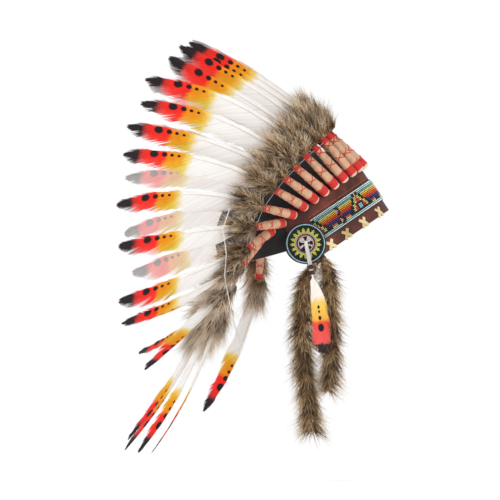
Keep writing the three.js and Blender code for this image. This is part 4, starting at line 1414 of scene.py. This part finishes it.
def build_tails(side):
    name = SIDES[side]
    reach = side * (ROSETTE_REACH + TAIL_BACK)
    half = TAIL_TAB_WIDTH / 2
    outer = STRIP_INNER + TAIL_TAB_WALL
    shape = wall_on_head(reach - half, reach + half, TAIL_TAB_FOOT, TAIL_TAB_TOP, STRIP_INNER, outer,
                         TAIL_TAB_STEPS, TAIL_TAB_EDGE)
    apart = side * TAIL_TAB_WIDTH * TAIL_APART
    long_one, short_one = (apart, LONG_TAIL_WAY, LONG_TAIL, 81), (-apart, SHORT_TAIL_WAY, SHORT_TAIL, 83)
    tails = []
    for shift, way, length, seed in (long_one, short_one):
        root = head_place(reach + shift, TAIL_TAB_FOOT + TAIL_SINK, outer - TAIL_TAB_WALL / 2)
        tails.append(tail_mesh(root, way, length, side, seed))
    tab = solid("tail_tab", shape, NAPE_LEATHER)
    add_piece(f"fur_strips_{name}", several("fur_strips", *tails, tab), "fur", f"fur_tails_{name}")


DROP_INSET = 5 * MM
DROP_SEED = 21
DROP_BARBS = 60
DROP_BARBS_FROM = 0.03
DROP_BEAD_RINGS = 12
DROP_BEAD_SIDES = 20
LACE_STEPS = 22
LACE_START = 3 * MM  # how far over the rosette's middle the lace begins
LACE_RIM = 1 * MM  # how far outside the rosette the first bead begins
LACE_BEND = 6 * MM  # how far before that the lace starts to stand off
QUILL_OVERLAP = 2 * MM


def strap(points, widths, wall, across, out):
    """Flat strap through points, with its back at the points and slightly rounded edges."""
    outline = ((-1, 0), (-1, 0.6), (-0.8, 1), (0.8, 1), (1, 0.6), (1, 0))
    return loft([
        [point + across * wide / 2 * aside + out * wall * lift for aside, lift in outline]
        for point, wide in zip(points, widths)
    ])


def bead_solid(centre, radius):
    sections = []
    for share in even(DROP_BEAD_RINGS):
        angle = math.pi * mix(0.06, 0.94, share)
        at = centre - UP * math.cos(angle) * radius
        size = math.sin(angle) * radius
        sections.append(ring(at, *LEVEL, size, size, DROP_BEAD_SIDES))
    return loft(sections)


def build_drop(side):
    name = SIDES[side]
    middle, outward, _, _ = rosette_frame(side)
    face = middle + outward * (PAD_WALL + ROSETTE_WALL)
    face.y -= side * CLEARANCE
    forward, away = Vector((1, 0, 0)), Vector((0, -side, 0))
    rim = ROSETTE_DIAMETER / 2 + LACE_RIM
    bend_at = rim - LACE_BEND
    end = rim + DROP_BEAD * 2

    def hung(down, off):
        return face + forward * LACE_LEAN * max(0, down) + away * off - UP * down

    def standoff(down):
        share = min(1.0, max(0.0, (down - bend_at) / (end - bend_at)))
        return DROP_STANDOFF * share * share * (3 - 2 * share)

    downs = [mix(-LACE_START, end, share) for share in even(LACE_STEPS)]
    widths = [LACE_WIDTH * mix(0.75, 1.05, math.sin(share * math.pi)) for share in even(LACE_STEPS)]
    shape = strap([hung(d, standoff(d)) for d in downs], widths, LACE_WALL, forward, away)
    lace = solid("lace", shape, GREY_LACE)
    beads = []
    for step in (0.5, 1.5):
        down = rim + DROP_BEAD * step
        share = (down - bend_at) / (end - bend_at)
        shape = bead_solid(hung(down, DROP_STANDOFF * share + LACE_WALL / 2), DROP_BEAD / 2)
        beads.append(solid("drop_bead", shape, DARK_BEAD))
    top = end - QUILL_OVERLAP

    def frame_at(distance):
        share = distance / DROP_LENGTH
        bow = between(DROP_BOW, share)
        at = hung(top, DROP_STANDOFF + LACE_WALL / 2) + forward * bow * DROP_LENGTH - UP * distance
        slope = between(DROP_BOW, min(1, share + 0.08)) - between(DROP_BOW, max(0, share - 0.08))
        along = Vector((slope / 0.16, 0, -1)).normalized()
        across = Vector((0, side, 0)).cross(along)
        return at, along, across, away

    feather = build_feather(
        frame_at, DROP_LENGTH - DROP_INSET, lambda share, edge: DROP_WIDTH * between(DROP_VANE, share),
        QUILL_RADIUS * 0.8, 1.0, DROP_SEED, (DROP_FEATHER, DROP_FEATHER), DROP_BARBS, DROP_BARBS_FROM)
    add_piece(f"hanging_drop_{name}", several("drop", feather, lace, *beads), "drop_feather", f"drop_{name}")


# Rawhide crosses along the band's lower margin

LACING_REACH = (33, 63, 91, 115)
CROSS_HALF = 4.4 * MM
CROSS_LOW = -0.8 * MM
CROSS_TOP = 10.2 * MM
CROSS_WIDTH = 4.3 * MM
CROSS_WALL = 0.9 * MM
CROSS_STEPS = 8
CROSS_LIFT = 0.1 * MM


def cross_strap(reach, lean, lift):
    """One strap of a cross, from top to bottom, which runs a little past the band's lower edge."""
    points = []
    for share in even(CROSS_STEPS):
        hump = lift * math.sin(math.pi * share)
        points.append(head_place(reach + lean * mix(-CROSS_HALF, CROSS_HALF, share),
                                 mix(CROSS_TOP, CROSS_LOW, share), BAND_OUTER + CROSS_LIFT + hump))
    out = outward_at(reach)
    along = (points[-1] - points[0]).normalized()
    widths = [CROSS_WIDTH * mix(0.8, 1.0, math.sin(math.pi * share)) for share in even(CROSS_STEPS)]
    return strap(points, widths, CROSS_WALL, along.cross(out).normalized(), out)


def build_crosses():
    straps = []
    for mm in LACING_REACH:
        for side in SIDES:
            for lean, lift in ((1, 0.15 * MM), (-1, CROSS_WALL * 1.3)):
                straps.append(solid("cross", cross_strap(side * mm * MM, lean, lift), RAWHIDE))
    add_piece("rawhide_crosses", several("crosses", *straps), "hide")


def polyline(name, points):
    mesh = bpy.data.meshes.new(name)
    mesh.from_pydata([tuple(p) for p in points], [(i, i + 1) for i in range(len(points) - 1)], [])
    return mesh


WELT_HEIGHT = STRIP_LOW + STRIP_HEIGHT + 2.4 * MM
WELT_RADIUS = 0.4 * MM
WELT_STEPS = 120
INNER_LINK_RADIUS = 0.22 * MM
OUTER_LINK_RADIUS = 0.5 * MM
INNER_LINK = 55 * MM  # how far along the plumes the thread between the wraps passes
# Way of the thread over the fur, in mm, as (forward, out to the side, up)
OUTER_LINK = [
    (-106, 182, 58), (-114, 184, 34), (-110, 174, 5), (-112, 162, -21), (-108, 150, -44), (-101, 138, -81),
    (-94, 130, -106),
]


def build_threads():
    reaches = [mix(-STRIP_REACH, STRIP_REACH, share) for share in even(WELT_STEPS)]
    line = [head_place(reach, WELT_HEIGHT, BAND_OUTER) for reach in reaches]
    # the welt is a real raised fold; its lighter colour is painted highlight
    welt = grown(THREAD, polyline("welt", line), thread_radius=WELT_RADIUS, material=WELT_PAINTED_HIGHLIGHT)
    add_piece("leather_welt", welt, "leather")
    for side, name in SIDES.items():
        inner = [plume.at(INNER_LINK) for plume in PLUMES[side][2:PLUMES_A_SIDE - 1]]
        outer = [Vector((x, -side * y, z)) * MM for x, y, z in OUTER_LINK]
        links = [
            grown(THREAD, polyline("link", way), thread_radius=radius, material=WHITE_THREAD)
            for way, radius in ((inner, INNER_LINK_RADIUS), (outer, OUTER_LINK_RADIUS))
        ]
        add_piece(f"linking_thread_{name}", several("links", *links), "fur")


SEAM_STEPS = 39
SEAM_LIFT = 0.25 * MM


def build_cap_seams():
    """Two light seams over the back of the cap, which meet low at the nape."""
    seams = []
    for side in SIDES:
        line = []
        for share in even(SEAM_STEPS):
            reach = side * mix(0.6, 0.97, share) * HALF_GIRTH
            line.append(cap_place(reach, mix(CAP_LEVELS - 5, 1, share), -SEAM_LIFT))
        seams.append(grown(STITCHES, polyline("seam", line), pitch=3 * MM, stitch_length=2.4 * MM,
                           thread_radius=0.35 * MM, material=SEAM_THREAD))
    add_piece("cap_seams", several("cap_seams", *seams), "felt")


# Studio

FLOOR_DROP = 30 * MM  # how far the floor lies under the headdress
FLOOR_RADIUS = 1.3
FLOOR_SIDES = 96
# Name, place, diameter and power of each lamp
LAMPS = [
    ("key", (-1.2, -2.4, 2.2), 1.6, 42), ("fill", (2.0, -2.0, 0.6), 2.0, 14),
    ("back", (-0.6, 2.2, 1.8), 1.6, 16),
]


def area_light(name, place, size, power):
    light = bpy.data.lights.new(name, "AREA")
    light.shape, light.size, light.energy = "DISK", size, power
    lamp = new_object(name, light)
    lamp.location = place
    lamp.rotation_euler = (PHOTO_MIDDLE - Vector(place)).to_track_quat("-Z", "Y").to_euler()


def build_studio():
    scene = bpy.context.scene
    camera = new_object("camera", bpy.data.cameras.new("camera"))
    camera.data.sensor_width = SENSOR
    camera.data.lens = SENSOR * CAMERA_DISTANCE / PHOTO_WIDTH
    camera.data.clip_end = CAMERA_DISTANCE * 3
    camera.location = PHOTO_MIDDLE + Vector((0, -CAMERA_DISTANCE, 0))
    camera.rotation_euler = (math.pi / 2, 0, 0)
    scene.camera = camera
    scene.view_settings.view_transform = "Standard"

    for lamp in LAMPS:
        area_light(*lamp)

    world = bpy.data.worlds.new("studio")
    world.use_nodes = True
    scene.world = world
    nodes = Nodes(world.node_tree)
    world.node_tree.nodes.clear()
    height = nodes.split(nodes.out("ShaderNodeTexCoord", output="Generated"))[2]
    strength = nodes.ranged(nodes.math("ABSOLUTE", height), 0.12, 0.5, 1.0, 0.55)
    sky = nodes.out("ShaderNodeBackground", {0: (1.0, 1.0, 1.0, 1.0), 1: strength})
    end = nodes.tree.nodes.new("ShaderNodeOutputWorld")
    nodes.tree.links.new(sky, end.inputs[0])

    middle = Vector((PHOTO_MIDDLE.x, 0, CAD_BOX[0][2] - FLOOR_DROP))
    corners = ring(middle, *LEVEL, FLOOR_RADIUS, FLOOR_RADIUS, FLOOR_SIDES)
    shape = corners, [tuple(range(FLOOR_SIDES))]
    new_object("floor", solid("floor", shape, floor_finish()))


build_studio()
build_cap()
build_band()
build_strip()
build_crosses()
build_cap_seams()
build_threads()
for each_side in SIDES:
    build_rosette(each_side)
    build_drop(each_side)
    build_tails(each_side)
    build_plumes(each_side)
    build_nape(each_side)
